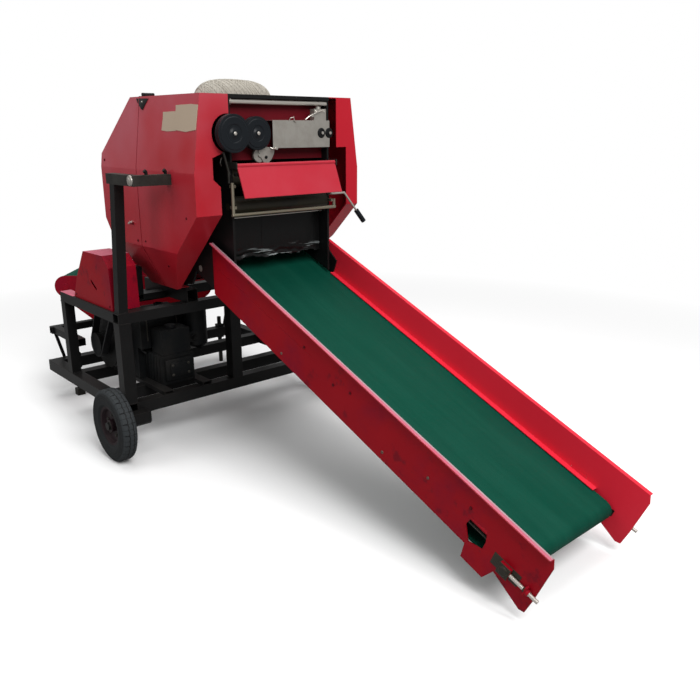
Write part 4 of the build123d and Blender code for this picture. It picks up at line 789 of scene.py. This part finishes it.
class Workshop:
    """Holds the built finishes, the drafts at hand and the machine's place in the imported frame."""

    def __init__(self, frame: dict) -> None:
        """Builds the shared effects and finds the drawing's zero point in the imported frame.
        """
        self.nodes = frame["nodes"]
        self.effects = {name: Effect(name, inputs, fill).tree for name, inputs, fill in (
            ("EdgeWear", ("Radius", "Amount"), Effect.wear), ("Dust", ("Scale", "Amount"), Effect.dust),
            ("Grain", ("Scale",), Effect.grain), ("Scratches", ("Scale", "Amount"), Effect.scratches),
        )}
        self.materials: dict[str, bpy.types.Material] = {}
        self.drafts: list[Draft] = []
        low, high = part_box("tyre_near")
        self.origin_x = (low.x + high.x) / 2 - WHEEL_X * MM

    def material(self, finish: Finish) -> bpy.types.Material:
        """Gives the material of a finish, built on first use.

        Args:
            finish: the finish.

        Returns:
            Its material.
        """
        if finish.name not in self.materials:
            self.materials[finish.name] = finish.build(self.effects)
        return self.materials[finish.name]

    def paint_nodes(self) -> None:
        """Gives each CAD node its finish."""
        finishes = {name: finish for finish, names in FINISH_NODES.items() for name in names.split()}
        for name, node in self.nodes.items():
            node.data.materials.clear()
            node.data.materials.append(self.material(finishes[name]))
        LOG.info("painted %d nodes", len(self.nodes))

    def deliver_all(self) -> None:
        """Finishes the drafts at hand."""
        for draft in self.drafts:
            draft.deliver(self)
        self.drafts.clear()


@dataclass(frozen=True)
class Assembly:
    """A sub-assembly or the studio, with its sizes as fields and the workshop that it is made in."""
    shop: Workshop

    def draft(self, *about: object, **more: object) -> Draft:
        """Starts a draft, given what Draft takes, that deliver_all turns into a piece."""
        self.shop.drafts.append(Draft(*about, **more))
        return self.shop.drafts[-1]


@dataclass(frozen=True)
class Wheels(Assembly):
    """Bolts, caps and sidewall ribs of the two wheels."""
    bolt_circle: float = 52.0
    bolt_count: int = 5
    hub_reach: float = 26.0
    wall_y: float = 37.6
    rib_radii: tuple[float, ...] = (129.0, 140.0, 151.0)
    rib_thick: float = 1.6
    rib_points: int = 48

    def dress(self) -> None:
        """Makes the fittings of both wheels."""
        cap = [(0, 5), (15, 5), (20, 2), (22, -2), (0, -2)]
        for side, body in ((-1, Body.WHEEL_NEAR), (1, Body.WHEEL_FAR)):
            label = "near" if side < 0 else "far"
            ribs = self.draft("tyre_ribs_" + label, TYRE, body)
            for face in SIDES:
                for radius in self.rib_radii:
                    y = side * WHEEL_Y + face * self.wall_y
                    line = circle((WHEEL_X, y, AXLE_Z), radius, self.rib_points)
                    ribs.pipe(line, self.rib_thick, 6, closed=True)
            bolts = self.draft("rim_bolts_" + label, DARK_STEEL, body)
            centre = (WHEEL_X, side * (WHEEL_Y + 8), AXLE_Z)
            bolts.bolts(circle(centre, self.bolt_circle, self.bolt_count, 0.3), (0, side, 0), 9.0, 6.0)
            bolts.lathe(cap, (WHEEL_X, side * (WHEEL_Y + self.hub_reach), AXLE_Z), (0, side, 0), 28)


@dataclass(frozen=True)
class Covers(Assembly):
    """Blank plates, bolts, latches and hinge gussets of the side covers."""
    plate_outlines: tuple[tuple[Point, ...], ...] = (
        ((92, 1510), (96, 1541), (99, 1560), (97, 1586), (214, 1588), (216, 1508), (140, 1506)),
        ((202, 1512), (207, 1600), (205, 1612), (330, 1614), (384, 1610), (381, 1560), (378, 1512),
         (300, 1504)),
    )
    fixed_bolts: tuple[Point, ...] = ((-92.0, 1010.0), (300.0, 1150.0), (40.0, 905.0))
    door_bolts: tuple[Point, ...] = ((-168.0, 1006.0), (-440.0, 1130.0), (-470.0, 1370.0))
    hinge_outline: tuple[Point, ...] = (
        (-131, 1648), (-41, 1645), (-71, 1618), (-90, 1597), (-106, 1602), (-131, 1622),
    )
    swing_outline: tuple[Point, ...] = ((-160, 1648), (-140, 1648), (-140, 1626))
    top_z: float = 1656.0
    crease_z: float = 1338.0
    low_crease_z: float = 985.0
    foot_z: float = 775.0
    top_lean: float = 45.0
    foot_lean: float = 105.0

    @property
    def lean(self) -> float:
        """The angle of the leaning upper face."""
        return math.atan2(self.top_lean, self.top_z - self.crease_z)

    def dress(self) -> None:
        """Makes the fittings of the fixed covers and of the door's covers."""
        for index, outline in enumerate(self.plate_outlines):
            plate = self.draft("blank_plate_%d" % (index + 1), PAPER)
            plate.plate(self.on_face(outline), 1.2 + 0.5 * index, self.upper_face(-1))
        fixed = self.draft("cover_bolts", DARK_RED)
        door = self.draft("door_bolts", DARK_RED, Body.DOOR)
        latch = self.draft("door_latches", BRIGHT, Body.DOOR)
        hinge = self.draft("hinge_gussets", BLACK)
        swing = self.draft("hinge_straps", BLACK, Body.DOOR)
        eyes = self.draft("hinge_bolts", STEEL)
        for side in SIDES:
            out = (0, side, 0)
            face = side * COVER_FACE_Y
            fixed.bolts([(x, side * self.face_y(z), z) for x, z in self.fixed_bolts], out, 5.0)
            door.bolts([(x, side * self.face_y(z), z) for x, z in self.door_bolts], out, 6.0)
            latch.rod((-243, face + side * 5, 1081), (-215, face + side * 5, 1091), 5.5, 12)
            latch.rod((-229, face - side * 2, 1086), (-229, face + side * 7, 1086), 3.5, 10)
            door.rod((-203, face - side * 1, 1083), (-203, face + side * 9, 1083), 5.0, 12)
            hinge.plate(self.on_face(self.hinge_outline), 3.0, self.upper_face(side), 0.8)
            swing.plate(self.on_face(self.swing_outline), 2.0, self.upper_face(side), 0.6)
            eyes.bolts([(-98, side * self.face_y(1632) + side * 3, 1632)], out, 5.0)

    def upper_face(self, side: int) -> Matrix:
        """Gives the leaning upper face's frame: X along the machine, Y up the face, Z outward.

        Args:
            side: -1 for the near side, 1 for the far side.

        Returns:
            The local frame, from the crease.
        """
        rise, run = math.cos(self.lean), math.sin(self.lean)
        rows = ((1, 0, 0, 0), (0, -side * run, side * rise, 0), (0, rise, run, 0), (0, 0, 0, 1))
        return Matrix.Translation((0, side * COVER_FACE_Y, self.crease_z)) @ Matrix(rows)

    def on_face(self, outline: Sequence[Point]) -> list[Point]:
        """Turns corners given in X and Z into lengths on the leaning upper face."""
        return [(x, (z - self.crease_z) / math.cos(self.lean)) for x, z in outline]

    def face_y(self, z: float) -> float:
        """Gives the distance of the cover's face from the middle plane.

        Args:
            z: the height.

        Returns:
            The distance there.
        """
        if z > self.crease_z:
            return COVER_FACE_Y - self.top_lean * (z - self.crease_z) / (self.top_z - self.crease_z)
        if z < self.low_crease_z:
            return COVER_FACE_Y - self.foot_lean * (self.low_crease_z - z) / (self.low_crease_z - self.foot_z)
        return COVER_FACE_Y


@dataclass(frozen=True)
class FrontGear(Assembly):
    """Pulley faces, bearings, cam, bolts and wires of the twine gear and flap."""
    pulley_z: float = 1498.0
    pulleys: tuple[Point, ...] = ((-282, 434, 76), (-139, 398, 68))
    cam_centre: Point = (367, -78, 1405)
    cam_outline: tuple[Point, ...] = (
        (-40, 27), (-12, 38), (46, 29), (42, 6), (29, -17), (10, -34), (-3, -36), (-15, -32), (-31, -6),
        (-39, 11),
    )

    def dress(self) -> None:
        """Makes the fittings at the front opening."""
        faces = self.draft("pulley_faces", PLASTIC)
        for y, front, radius in self.pulleys:
            rim = radius + 2.5
            profile = [(0, 4), (14, 4), (18, 1), (radius * 0.45, -1.5), (radius * 0.5, 2.5),
                       (radius * 0.86, 2.5), (radius * 0.9, -1), (rim, -1), (rim, -8), (radius - 4, -12),
                       (rim, -20), (rim, -27), (radius - 6, -29), (0, -29)]
            faces.lathe(profile, (front, y, self.pulley_z), FORWARD, 48)
        bearings = self.draft("rail_bearings", IRON)
        bright = self.draft("twine_gear_bright", BRIGHT)
        bright.bolts([(front + 4, y, self.pulley_z) for y, front, radius in self.pulleys], FORWARD, 9.0)
        bright.bolts([(400, 188, 1592), (400, 232, 1592)], FORWARD, 6.0)
        for wire, radius in (
            (((402, -78, 1438), (408, -70, 1434), (410, -56, 1433), (404, -44, 1437)), 2.4),
            (((404, 120, 1556), (412, 140, 1572), (410, 190, 1590), (400, 236, 1600)), 2.4),
            (((400, 30, 1552), (406, 34, 1562), (408, 50, 1566), (406, 56, 1552), (403, 66, 1545)), 2.0),
        ):
            bright.pipe(wire, radius)
        bright.rod((404, -50, 1434), (413, -50, 1434), 6, 14)
        bright.rod((372, -262, 1627), (372, -258, 1627), 14, 20)
        bright.rod((398, 158, 1574), (410, 158, 1574), 7, 14)
        bearings.bolts([(368, -80, 1396)], FORWARD, 9.0)
        for y in (216.0, 262.0):
            bearings.lathe([(0, 9), (7, 9), (9, 5), (19, 4), (23, 0), (0, 0)], (400, y, 1498), FORWARD, 28)
            bright.rod((404, y, 1498), (412, y, 1498), 6.5)
        upright = Matrix(((0, 0, 1, 0), (1, 0, 0, 0), (0, 1, 0, 0), (0, 0, 0, 1)))
        cam = self.draft("cam_plate", STEEL)
        cam.plate(self.cam_outline, 4.0, Matrix.Translation(self.cam_centre) @ upright)
        rods = self.draft("flap_linkage", DARK_STEEL)
        rods.rod((404, -296, 1330), (404, -322, 1424), 5, 12)
        rods.rod((404, -300, 1296), (404, -300, 1340), 5, 12)
        rods.rod((396, -262, 1330), (418, -262, 1330), 9)
        rods.pipe([(404, -330, 1400), (412, -340, 1395), (414, -345, 1380), (410, -338, 1368)], 2.5)


@dataclass(frozen=True)
class TwineBall(Assembly):
    """The wound ball of twine in the tray."""
    centre: Point = (100.0, -58.0, 1650.0)
    radius: float = 82.0
    half_length: float = 197.0
    core_steps: int = 28
    strand: float = 2.0
    turns: int = 96
    per_turn: int = 40
    sweep_rate: float = 0.2618
    sweep_drift: float = 0.031

    def radius_at(self, along: float) -> float:
        """The ball's radius at a distance from its middle."""
        part = min(1.0, abs(along) / self.half_length)
        return self.radius * (1.0 - part ** 3.2) ** 0.5

    def dress(self) -> None:
        """Makes the ball's body and the strands that are wound over it."""
        core = Draft("twine_core", TWINE, place=Matrix.Translation(self.centre))
        profile = []
        for index in range(self.core_steps + 1):
            along = -self.half_length * math.cos(math.pi * index / self.core_steps)
            profile.append((self.radius_at(along) - 0.6 if 0 < index < self.core_steps else 0.0, along))
        core.lathe(profile, (0, 0, 0), (0, 1, 0), 56)
        ball = core.deliver(self.shop)
        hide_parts("twine_ball")
        wound = self.draft("twine_strands", TWINE, place=Matrix.Translation(self.centre))
        points = []
        for index in range(self.turns * self.per_turn):
            angle = math.tau * index / self.per_turn
            sweep = math.sin(angle * self.sweep_rate + 0.3 * math.sin(angle * self.sweep_drift))
            along = 0.93 * self.half_length * sweep
            reach = self.radius_at(along) + 0.4 * math.sin(index * 0.37)
            points.append((reach * math.cos(angle), along, reach * math.sin(angle)))
        wound.pipe(points, self.strand, 5)


@dataclass(frozen=True)
class Curtain(Assembly):
    """The black sheeting curtain that hangs in front of the inlet."""
    edges: tuple[float, ...] = (-262.0, -82.0, 226.0, 262.0)
    top: float = 1136.0
    low: float = 949.0
    rows: int = 34
    column_width: float = 9.0
    slit: float = 1.5
    front_x: float = 320.0
    thick: float = 2.0

    def fold(self, y: float, down: float) -> float:
        """Gives how far the sheeting stands out at a place.

        Args:
            y: the place across the machine.
            down: 0 at the top edge and 1 at the low edge.

        Returns:
            The distance from its flat plane.
        """
        near = 0.35 + 0.65 * max(0.0, min(1.0, (150.0 - y) / 300.0))
        sway = 2.6 * down * math.sin(y * 0.021 + 2.4 * down)
        pleat = 1.6 * down * down * math.sin(y * 0.11 + 0.6)
        low = max(0.0, (down - 0.72) / 0.28)
        wave = math.sin(down * 46.0 + 1.3 * math.sin(y * 0.027) + 0.8 * math.sin(y * 0.071))
        return sway + pleat + 4.2 * near * low * wave

    def dress(self) -> None:
        """Makes three crumpled strips."""
        for strip, (start, stop) in enumerate(zip(self.edges, self.edges[1:])):
            columns = max(4, round((stop - start) / self.column_width))
            grid = []
            for row in range(self.rows + 1):
                down = row / self.rows
                line = []
                for column in range(columns + 1):
                    y = start + (stop - start - self.slit) * column / columns
                    edge = 4.0 * math.sin(y * 0.035 + strip) + 2.0 * math.sin(y * 0.13)
                    z = self.top - (self.top - self.low) * down + edge * down ** 3
                    line.append((self.front_x + self.fold(y, down), y, z))
                grid.append(line)
            draft = Draft("curtain_strip_%d" % (strip + 1), SHEETING)
            self.skin(draft.bm, grid)
            draft.deliver(self.shop)
        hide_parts("inlet_curtain")

    def skin(self, bm: bmesh.types.BMesh, grid: list[list[Point]]) -> None:
        """Adds a closed sheet over a grid of points.

        Args:
            bm: the mesh in the making.
            grid: rows of points on the front.
        """
        front = [[bm.verts.new(point) for point in line] for line in grid]
        back = [[bm.verts.new((x - self.thick, y, z)) for x, y, z in line] for line in grid]
        rows, columns = len(grid) - 1, len(grid[0]) - 1
        for row in range(rows):
            for column in range(columns):
                places = ((row, column), (row, column + 1), (row + 1, column + 1), (row + 1, column))
                bm.faces.new([front[down][across] for down, across in places])
                bm.faces.new([back[down][across] for down, across in (places[0], *places[:0:-1])])
        walls = [((row, column), (row + 1, column)) for row in range(rows) for column in (0, columns)]
        walls += [((row, column), (row, column + 1)) for column in range(columns) for row in (0, rows)]
        for (row, column), (next_row, next_column) in walls:
            bm.faces.new((front[row][column], front[next_row][next_column], back[next_row][next_column],
                          back[row][column]))


@dataclass(frozen=True)
class Conveyor(Assembly):
    """Bolts, folds, hem strips, painted highlight strips on the near flange and the belt tension gear of the
    conveyor.
    """
    rusty_bolts: tuple[Point, ...] = ((587, -188), (1238, -185), (1456, -118))
    dull_bolts: tuple[Point, ...] = ((706, -74), (912, -113), (1006, -82), (1648, -81))
    roller_n: float = -169.0
    tail_s: float = 1848.0
    start_s: float = -28.0
    end_s: float = 1958.0
    window: tuple[Point, ...] = (
        (1657, -147), (1667, -112), (1734, -106), (1746, -146), (1745, -180), (1691, -200),
    )

    def dress(self) -> None:
        """Makes the fittings on both side plates, in a frame with X down the slope and Z square to it."""
        slope = Matrix.Translation(CONVEYOR_TOP) @ Matrix.Rotation(math.radians(SLOPE), 4, "Y")
        blank, rim, edge, bright, dull, rusty, folds, hems, grease = [
            self.draft(name, finish, place=slope) for name, finish in (
                ("window_blank", RED_SUN), ("flange_bloom", PAINTED_HIGHLIGHT_RED), ("flange_dust", FLANGE_PAINTED_HIGHLIGHT),
                ("conveyor_bright", BRIGHT), ("conveyor_bolts", DARK_RED), ("conveyor_rusty_bolts", RUST),
                ("conveyor_folds", RED_SHADED_STAINED), ("conveyor_hems", RED), ("conveyor_bearings", SOOT),
            )
        ]
        n = self.roller_n
        for side in SIDES:
            out = (0, side, 0)
            face = side * CONVEYOR_HALF
            rod = side * (CONVEYOR_FLANGE - 8)
            hem = side * (CONVEYOR_FLANGE - 0.8)
            rusty.bolts([(s, face, height) for s, height in self.rusty_bolts], out, 6.0)
            dull.bolts([(s, face, height) for s, height in self.dull_bolts], out, 6.0)
            folds.pipe([(34, face, -88), (760, face, -86)], 1.2)
            hems.pipe([(self.start_s + 2, hem, -2), (self.end_s - 2, hem, -2)], 2.0)
            bright.rod((1872, rod, n), (1988, rod, n), 6.6)
            bright.bolts([(1953, rod, n)], FORWARD, 8.0)
            grease.bolts([(1934, rod, n)], (-1, 0, 0), 9.0)
            low, high = sorted((side * (CONVEYOR_FLANGE - 1), side * (CONVEYOR_FLANGE + 1.5)))
            grease.block((1825, low, n - 23), (1871, high, n + 23), 0.6)
            grease.lathe([(0, 5), (14, 5), (17, 3), (17, 0), (0, 0)],
                         (self.tail_s, side * (CONVEYOR_FLANGE + 1), n), out, 28)
            low, high = sorted((face, side * (CONVEYOR_HALF + 1.2)))
            grease.block((1790, low, n - 26), (1905, high, n + 24), 0.5)
        blank.plate(self.window, 3.0, Matrix(((1, 0, 0, 0), (0, 0, -1, 303.4), (0, 1, 0, 0), (0, 0, 0, 1))))
        # Painted highlights along the near flange's outer edge and along its bend.
        rim.block((self.start_s, -319.6, -0.4), (self.end_s, -307.5, 0.7), 0.3)
        edge.block((self.start_s, -307.3, -0.4), (self.end_s, -300.4, 0.5), 0.2)


@dataclass(frozen=True)
class Table(Assembly):
    """Edging, seams, bolts and end caps of the wrap table."""
    nose_u: float = 391.0
    nose_z: float = 636.0
    half_width: float = 275.0
    belt_radius: float = 60.3
    belt_sag: float = 120.0
    nose_wrap: float = 95.0
    nose_steps: int = 9
    sag_steps: int = 28
    edging: Point = (232.0, 266.0)
    edging_thick: float = 1.2
    seam_y: float = 229.0
    bolt_u: Point = (-210.0, -70.0, 70.0, 210.0)
    bolt_z: float = 462.0

    def belt_line(self) -> list[tuple[float, float]]:
        """Gives the belt's upper face from one nose to the other.

        Returns:
            Its points, as length and height.
        """
        hung = (self.nose_u ** 2 + self.belt_sag ** 2) / (2 * self.belt_sag)
        middle = self.nose_z + hung - self.belt_sag
        bow = hung - self.belt_radius
        reach = math.asin(self.nose_u / hung)
        nose = []
        for index in range(self.nose_steps):
            turn = math.radians(self.nose_wrap) * (1.0 - index / self.nose_steps)
            angle = math.pi / 2 + reach + turn
            nose.append((-self.nose_u + self.belt_radius * math.cos(angle),
                         self.nose_z + self.belt_radius * math.sin(angle)))
        turns = [-reach + 2 * reach * index / self.sag_steps for index in range(self.sag_steps + 1)]
        sag = [(bow * math.sin(turn), middle - bow * math.cos(turn)) for turn in turns]
        return nose + sag + [(-u, z) for u, z in nose[::-1]]

    def dress(self) -> None:
        """Makes the fittings of the wrap table, in a frame with X along the table."""
        place = Matrix.Translation((TABLE_X, 0, 0)) @ Matrix.Rotation(math.radians(TABLE_TURN), 4, "Z")
        edging, seams, bolts, caps = [
            self.draft(name, finish, Body.TABLE, place) for name, finish in (
                ("table_belt_edging", PALE), ("table_belt_seams", RUBBER), ("table_bolts", DARK_RED),
                ("table_end_caps", RED_SHADED_STAINED),
            )
        ]
        line = self.belt_line()
        for side in SIDES:
            inner, outer = (side * y for y in self.edging)
            rings = []
            for index, (u, z) in enumerate(line):
                before = line[max(0, index - 1)]
                after = line[min(len(line) - 1, index + 1)]
                run = Vector((after[0] - before[0], after[1] - before[1])).normalized()
                up_u, up_z = -run.y * self.edging_thick, run.x * self.edging_thick
                rings.append(((u - up_u, inner, z - up_z), (u + up_u, inner, z + up_z),
                              (u + up_u, outer, z + up_z), (u - up_u, outer, z - up_z)))
            edging.loft(rings)
            seams.pipe([(u, side * self.seam_y, z + 0.8) for u, z in line[8:-8]], 2.0, 6)
            bolts.bolts([(u, side * self.half_width, self.bolt_z) for u in self.bolt_u], (0, side, 0), 6.0)
            for u in (-self.nose_u, self.nose_u):
                caps.lathe([(0, 2.5), (19, 2.5), (20.5, 1), (20.5, 0), (0, 0)],
                           (u, side * self.half_width, self.nose_z), (0, side, 0), 28)


@dataclass(frozen=True)
class PowerUnit(Assembly):
    """Covers, muffler, silencer, tank fittings and bolts of the engine; bolts of gearbox and guard."""
    engine_y: float = -300.0
    crank_x: float = -470.0
    crank_z: float = 345.0
    fin_x: tuple[float, ...] = (-322.0, -288.0, -254.0, -220.0, -186.0)
    tank_z: float = 550.0
    tank_x: Point = (-468.0, -338.0)
    strap_radius: float = 60.6
    strap_foot_z: float = 470.0

    def dress(self) -> None:
        """Makes the fittings of the power unit."""
        self.dress_castings()
        self.dress_tank()
        bolts = self.draft("gearbox_bolts", DARK_STEEL)
        bolts.bolts([(x, -487, z) for x in (-405, -285) for z in (735, 845)], (0, -1, 0))
        bolts.bolts([(x, -443, 860) for x in (-400, -345, -290)], UP)
        bolts.lathe([(0, 6), (26, 6), (30, 0), (0, 0)], (-345, -400, 790), (0, 1, 0))
        guard = self.draft("guard_bolts", DARK_RED)
        for y, side in ((-628, -1), (-490, 1)):
            guard.bolts([(x, y, 708) for x in (-556, -166)], (0, side, 0), 5.0)
        # Painted highlight on the guard's top face and on the deck corner beside it.
        painted_highlight = self.draft("guard_bloom", PAINTED_HIGHLIGHT_RED)
        painted_highlight.plate([(-423, -627.4), (-209, -627.4), (-209, -490.6), (-423, -490.6)], 0.8,
                    Matrix(((1, 0, 0, 0), (0, 1, 0, 0), (0.0139, 0, 1, 947.6), (0, 0, 0, 1))))
        painted_highlight.block((-754.4, -639.4, 689.6), (-590, -580.6, 691), 0.4)

    def dress_castings(self) -> None:
        """Makes the engine's covers, fins, bed plate, muffler and upright silencer."""
        y = self.engine_y
        cast = self.draft("engine_castings", IRON)
        cast.block((-151, y - 78, 282), (-134, y + 78, 392), 4.0)
        cast.block((-136, y - 56, 300), (-126, y + 56, 374), 4.0)
        for side in SIDES:
            out = (0, side, 0)
            for profile, reach, sides in (([(0, 7), (48, 7), (56, 0), (0, 0)], 130, 36),
                                          ([(0, 12), (13, 12), (16, 6), (16, 0), (0, 0)], 136, 24)):
                cast.lathe(profile, (self.crank_x, y + side * reach, self.crank_z), out, sides)
        for x in self.fin_x:
            cast.block((x, y - 94, 268), (x + 6, y + 94, 404), 1.5)
        cast.block((-600, y - 120, 262), (-340, y + 120, 272), 2.0)
        cast.rod((-300, y + 96, 400), (-300, y + 96, 468), 12)
        cast.rod((-345, y + 106, 478), (-170, y + 106, 478), 30, 28)
        cast.rod((-172, y + 106, 478), (-140, y + 106, 478), 11)
        cast.lathe([(0, 205), (44, 205), (58, 192), (58, 12), (46, 0), (0, 0)], (-215, -150, 420), UP, 36)
        cast.rod((-230, y + 40, 440), (-220, -160, 440), 15, 18)
        cast.block((-276, -158, 404), (-154, -142, 424), 2.0)

    def dress_tank(self) -> None:
        """Makes the tank's caps and straps, the hoses and the engine's bolts."""
        y = self.engine_y
        caps = self.draft("engine_caps", RUBBER)
        caps.lathe([(0, 22), (22, 22), (26, 18), (26, 4), (22, 0), (0, 0)], (-400, y + 40, 609), UP)
        caps.lathe([(0, 16), (26, 16), (30, 10), (30, 0), (0, 0)], (-213, y, 539), UP)
        for hose in (((-500, y - 60, 430), (-540, y - 80, 418), (-590, y - 90, 404), (-607, y - 60, 392)),
                     ((-330, y - 112, 440), (-318, y - 116, 415), (-300, y - 100, 400))):
            caps.pipe(hose, 4.0)
        straps = self.draft("engine_bright_parts", DARK_STEEL)
        radius = self.strap_radius
        rear, front = self.tank_x
        over = [(middle + radius * math.cos(angle), self.tank_z + radius * math.sin(angle))
                for middle, start in ((rear, math.pi), (front, math.pi / 2))
                for angle in (start - index * math.pi / 16 for index in range(9))]
        line = [(rear - radius, self.strap_foot_z), *over, (front + radius, self.strap_foot_z)]
        for place in (y - 95, y + 75):
            straps.pipe([(x, place, z) for x, z in line], 3.5)
        straps.bolts([(x, y - 90, 431) for x in (-595, -545)], UP, 7.0)
        straps.bolts([(-126, y + dy, z) for dy in (-44, 44) for z in (312, 362)], FORWARD, 7.0)


@dataclass(frozen=True)
class FrameWelds(Assembly):
    """Weld beads, bolts and hook pins on the black frame and the cover stay."""
    bead: float = 3.0
    legs: tuple[Point, ...] = ((-730.0, 615.0, 25.0), (-90.0, 610.0, 30.0))
    leg_ends: Point = (241.0, 639.0)

    def dress(self) -> None:
        """Makes the weld beads round the legs, and the bolts of the axle brackets and the stay."""
        welds = self.draft("weld_beads", BLACK)
        bolts = self.draft("frame_bolts", DARK_STEEL)
        for side in SIDES:
            for x, y, half in self.legs:
                for z in self.leg_ends:
                    corners = [(x - half, side * y - half, z), (x + half, side * y - half, z),
                               (x + half, side * y + half, z), (x - half, side * y + half, z)]
                    welds.pipe(corners, self.bead, 6, closed=True)
            bolts.bolts([(x, side * 640, 212) for x in (-92.0, -76.0)], (0, side, 0), 6.0)
        welds.pipe([(-110, -632, 691), (-65, -632, 691), (-65, -587, 691), (-110, -587, 691)], self.bead, 6,
                   closed=True)
        ferrule = self.draft("stay_ferrule", STEEL)
        ferrule.lathe([(0, 9), (10, 9), (13, 6), (21, 5), (23, 0), (0, 0)], (165, -632, 1309), (0, -1, 0), 28)
        pins = self.draft("stay_pins", BLACK)
        for y, lean in ((-560, -8.0), (-469, -9.0)):
            pins.rod((170, y, 1328), (170, y, 1342), 7)
            pins.rod((170, y, 1340), (170, y + lean, 1348), 8.5)


def place_in_scene(data: bpy.types.ID) -> bpy.types.Object:
    """Puts a camera, lamp or mesh into the scene.

    Args:
        data: the camera, lamp or mesh.

    Returns:
        Its object.
    """
    thing = bpy.data.objects.new(data.name, data)
    bpy.context.scene.collection.objects.link(thing)
    return thing


@dataclass(frozen=True)
class Studio(Assembly):
    """The floor, the light and the camera."""
    camera_place: Point = (3112.0, -2048.0, 1520.0)
    azimuth: float = 48.0
    pitch: float = 16.85
    lens: float = 37.7
    floor_half: float = 30.0
    fade: Point = (2.4, 4.6)
    floor_grey: Colour = (0.34, 0.34, 0.34)
    floor_seen: Colour = (0.93, 0.93, 0.93)
    sky_light: float = 0.42
    lamps: tuple[tuple[str, Point, float, float], ...] = (
        ("KeyLamp", (4.5, -1.0, 4.5), 300.0, 3.0),
        ("NearLamp", (-1.5, -5.0, 3.6), 70.0, 3.0),
        ("TopLamp", (-0.5, 0.5, 5.5), 170.0, 4.0),
    )
    lamp_target: Point = (0.0, 0.0, 0.8)

    def set_camera(self) -> None:
        """Places the camera where the photograph was taken from."""
        data = bpy.data.cameras.new("PhotoCamera")
        data.lens = self.lens
        data.sensor_width = 36.0
        camera = place_in_scene(data)
        x, y, z = self.camera_place
        camera.location = (x * MM + self.shop.origin_x, y * MM, z * MM)
        turn = math.radians(self.azimuth)
        drop = math.radians(self.pitch)
        look = Vector((-math.sin(turn) * math.cos(drop), math.cos(turn) * math.cos(drop), -math.sin(drop)))
        camera.rotation_euler = look.to_track_quat("-Z", "Y").to_euler()
        bpy.context.scene.camera = camera

    def set_floor(self) -> None:
        """Lays a pale floor that runs out into the white background."""
        bm = bmesh.new()
        bmesh.ops.create_grid(bm, x_segments=1, y_segments=1, size=self.floor_half)
        mesh = bpy.data.meshes.new("Floor")
        bm.to_mesh(mesh)
        bm.free()
        floor = place_in_scene(mesh)
        material = bpy.data.materials.new("PaleFloor")
        graph = Graph.on(material)
        reach = graph.add("VectorMath", {0: graph.place()}, operation="LENGTH").outputs["Value"]
        seen = graph.add("LightPath").outputs["Is Camera Ray"]
        shade = graph.add("BsdfDiffuse", {"Color": graph.blend(seen, self.floor_grey, self.floor_seen)})
        glow = graph.add("Emission", {"Color": (1.0, 1.0, 1.0), "Strength": 1.0})
        amount = graph.times(graph.ramp(reach, *self.fade), seen)
        mixed = graph.add("MixShader", {0: amount, 1: shade.outputs[0], 2: glow.outputs[0]})
        graph.add("OutputMaterial", {"Surface": mixed.outputs[0]})
        mesh.materials.append(material)

    def set_light(self) -> None:
        """Sets a soft white sky and three large lamps."""
        world = bpy.data.worlds.new("SoftWhite")
        bpy.context.scene.world = world
        graph = Graph.on(world)
        seen = graph.add("LightPath").outputs["Is Camera Ray"]
        strength = graph.maths("MULTIPLY_ADD", seen, 1.0 - self.sky_light, self.sky_light)
        sky = graph.add("Background", {"Color": (1.0, 1.0, 1.0), "Strength": strength})
        graph.add("OutputWorld", {"Surface": sky.outputs[0]})
        for name, place, power, size in self.lamps:
            data = bpy.data.lights.new(name, "AREA")
            data.energy = power
            data.shape = "SQUARE"
            data.size = size
            lamp = place_in_scene(data)
            lamp.location = place
            aim = Vector(self.lamp_target) - lamp.location
            lamp.rotation_euler = aim.to_track_quat("-Z", "Y").to_euler()
        bpy.context.scene.view_settings.view_transform = "Standard"


def main() -> None:
    """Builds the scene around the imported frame."""
    logging.basicConfig(level=logging.INFO, format="%(name)s %(message)s")
    shop = Workshop(frame)
    studio = Studio(shop)
    studio.set_camera()
    studio.set_floor()
    studio.set_light()
    shop.paint_nodes()
    for kind in (Wheels, Covers, FrontGear, TwineBall, Curtain, Conveyor, Table, PowerUnit, FrameWelds):
        LOG.info("dressing %s", kind.__name__)
        kind(shop).dress()
        shop.deliver_all()


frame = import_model()

if __name__ == "__main__":
    main()
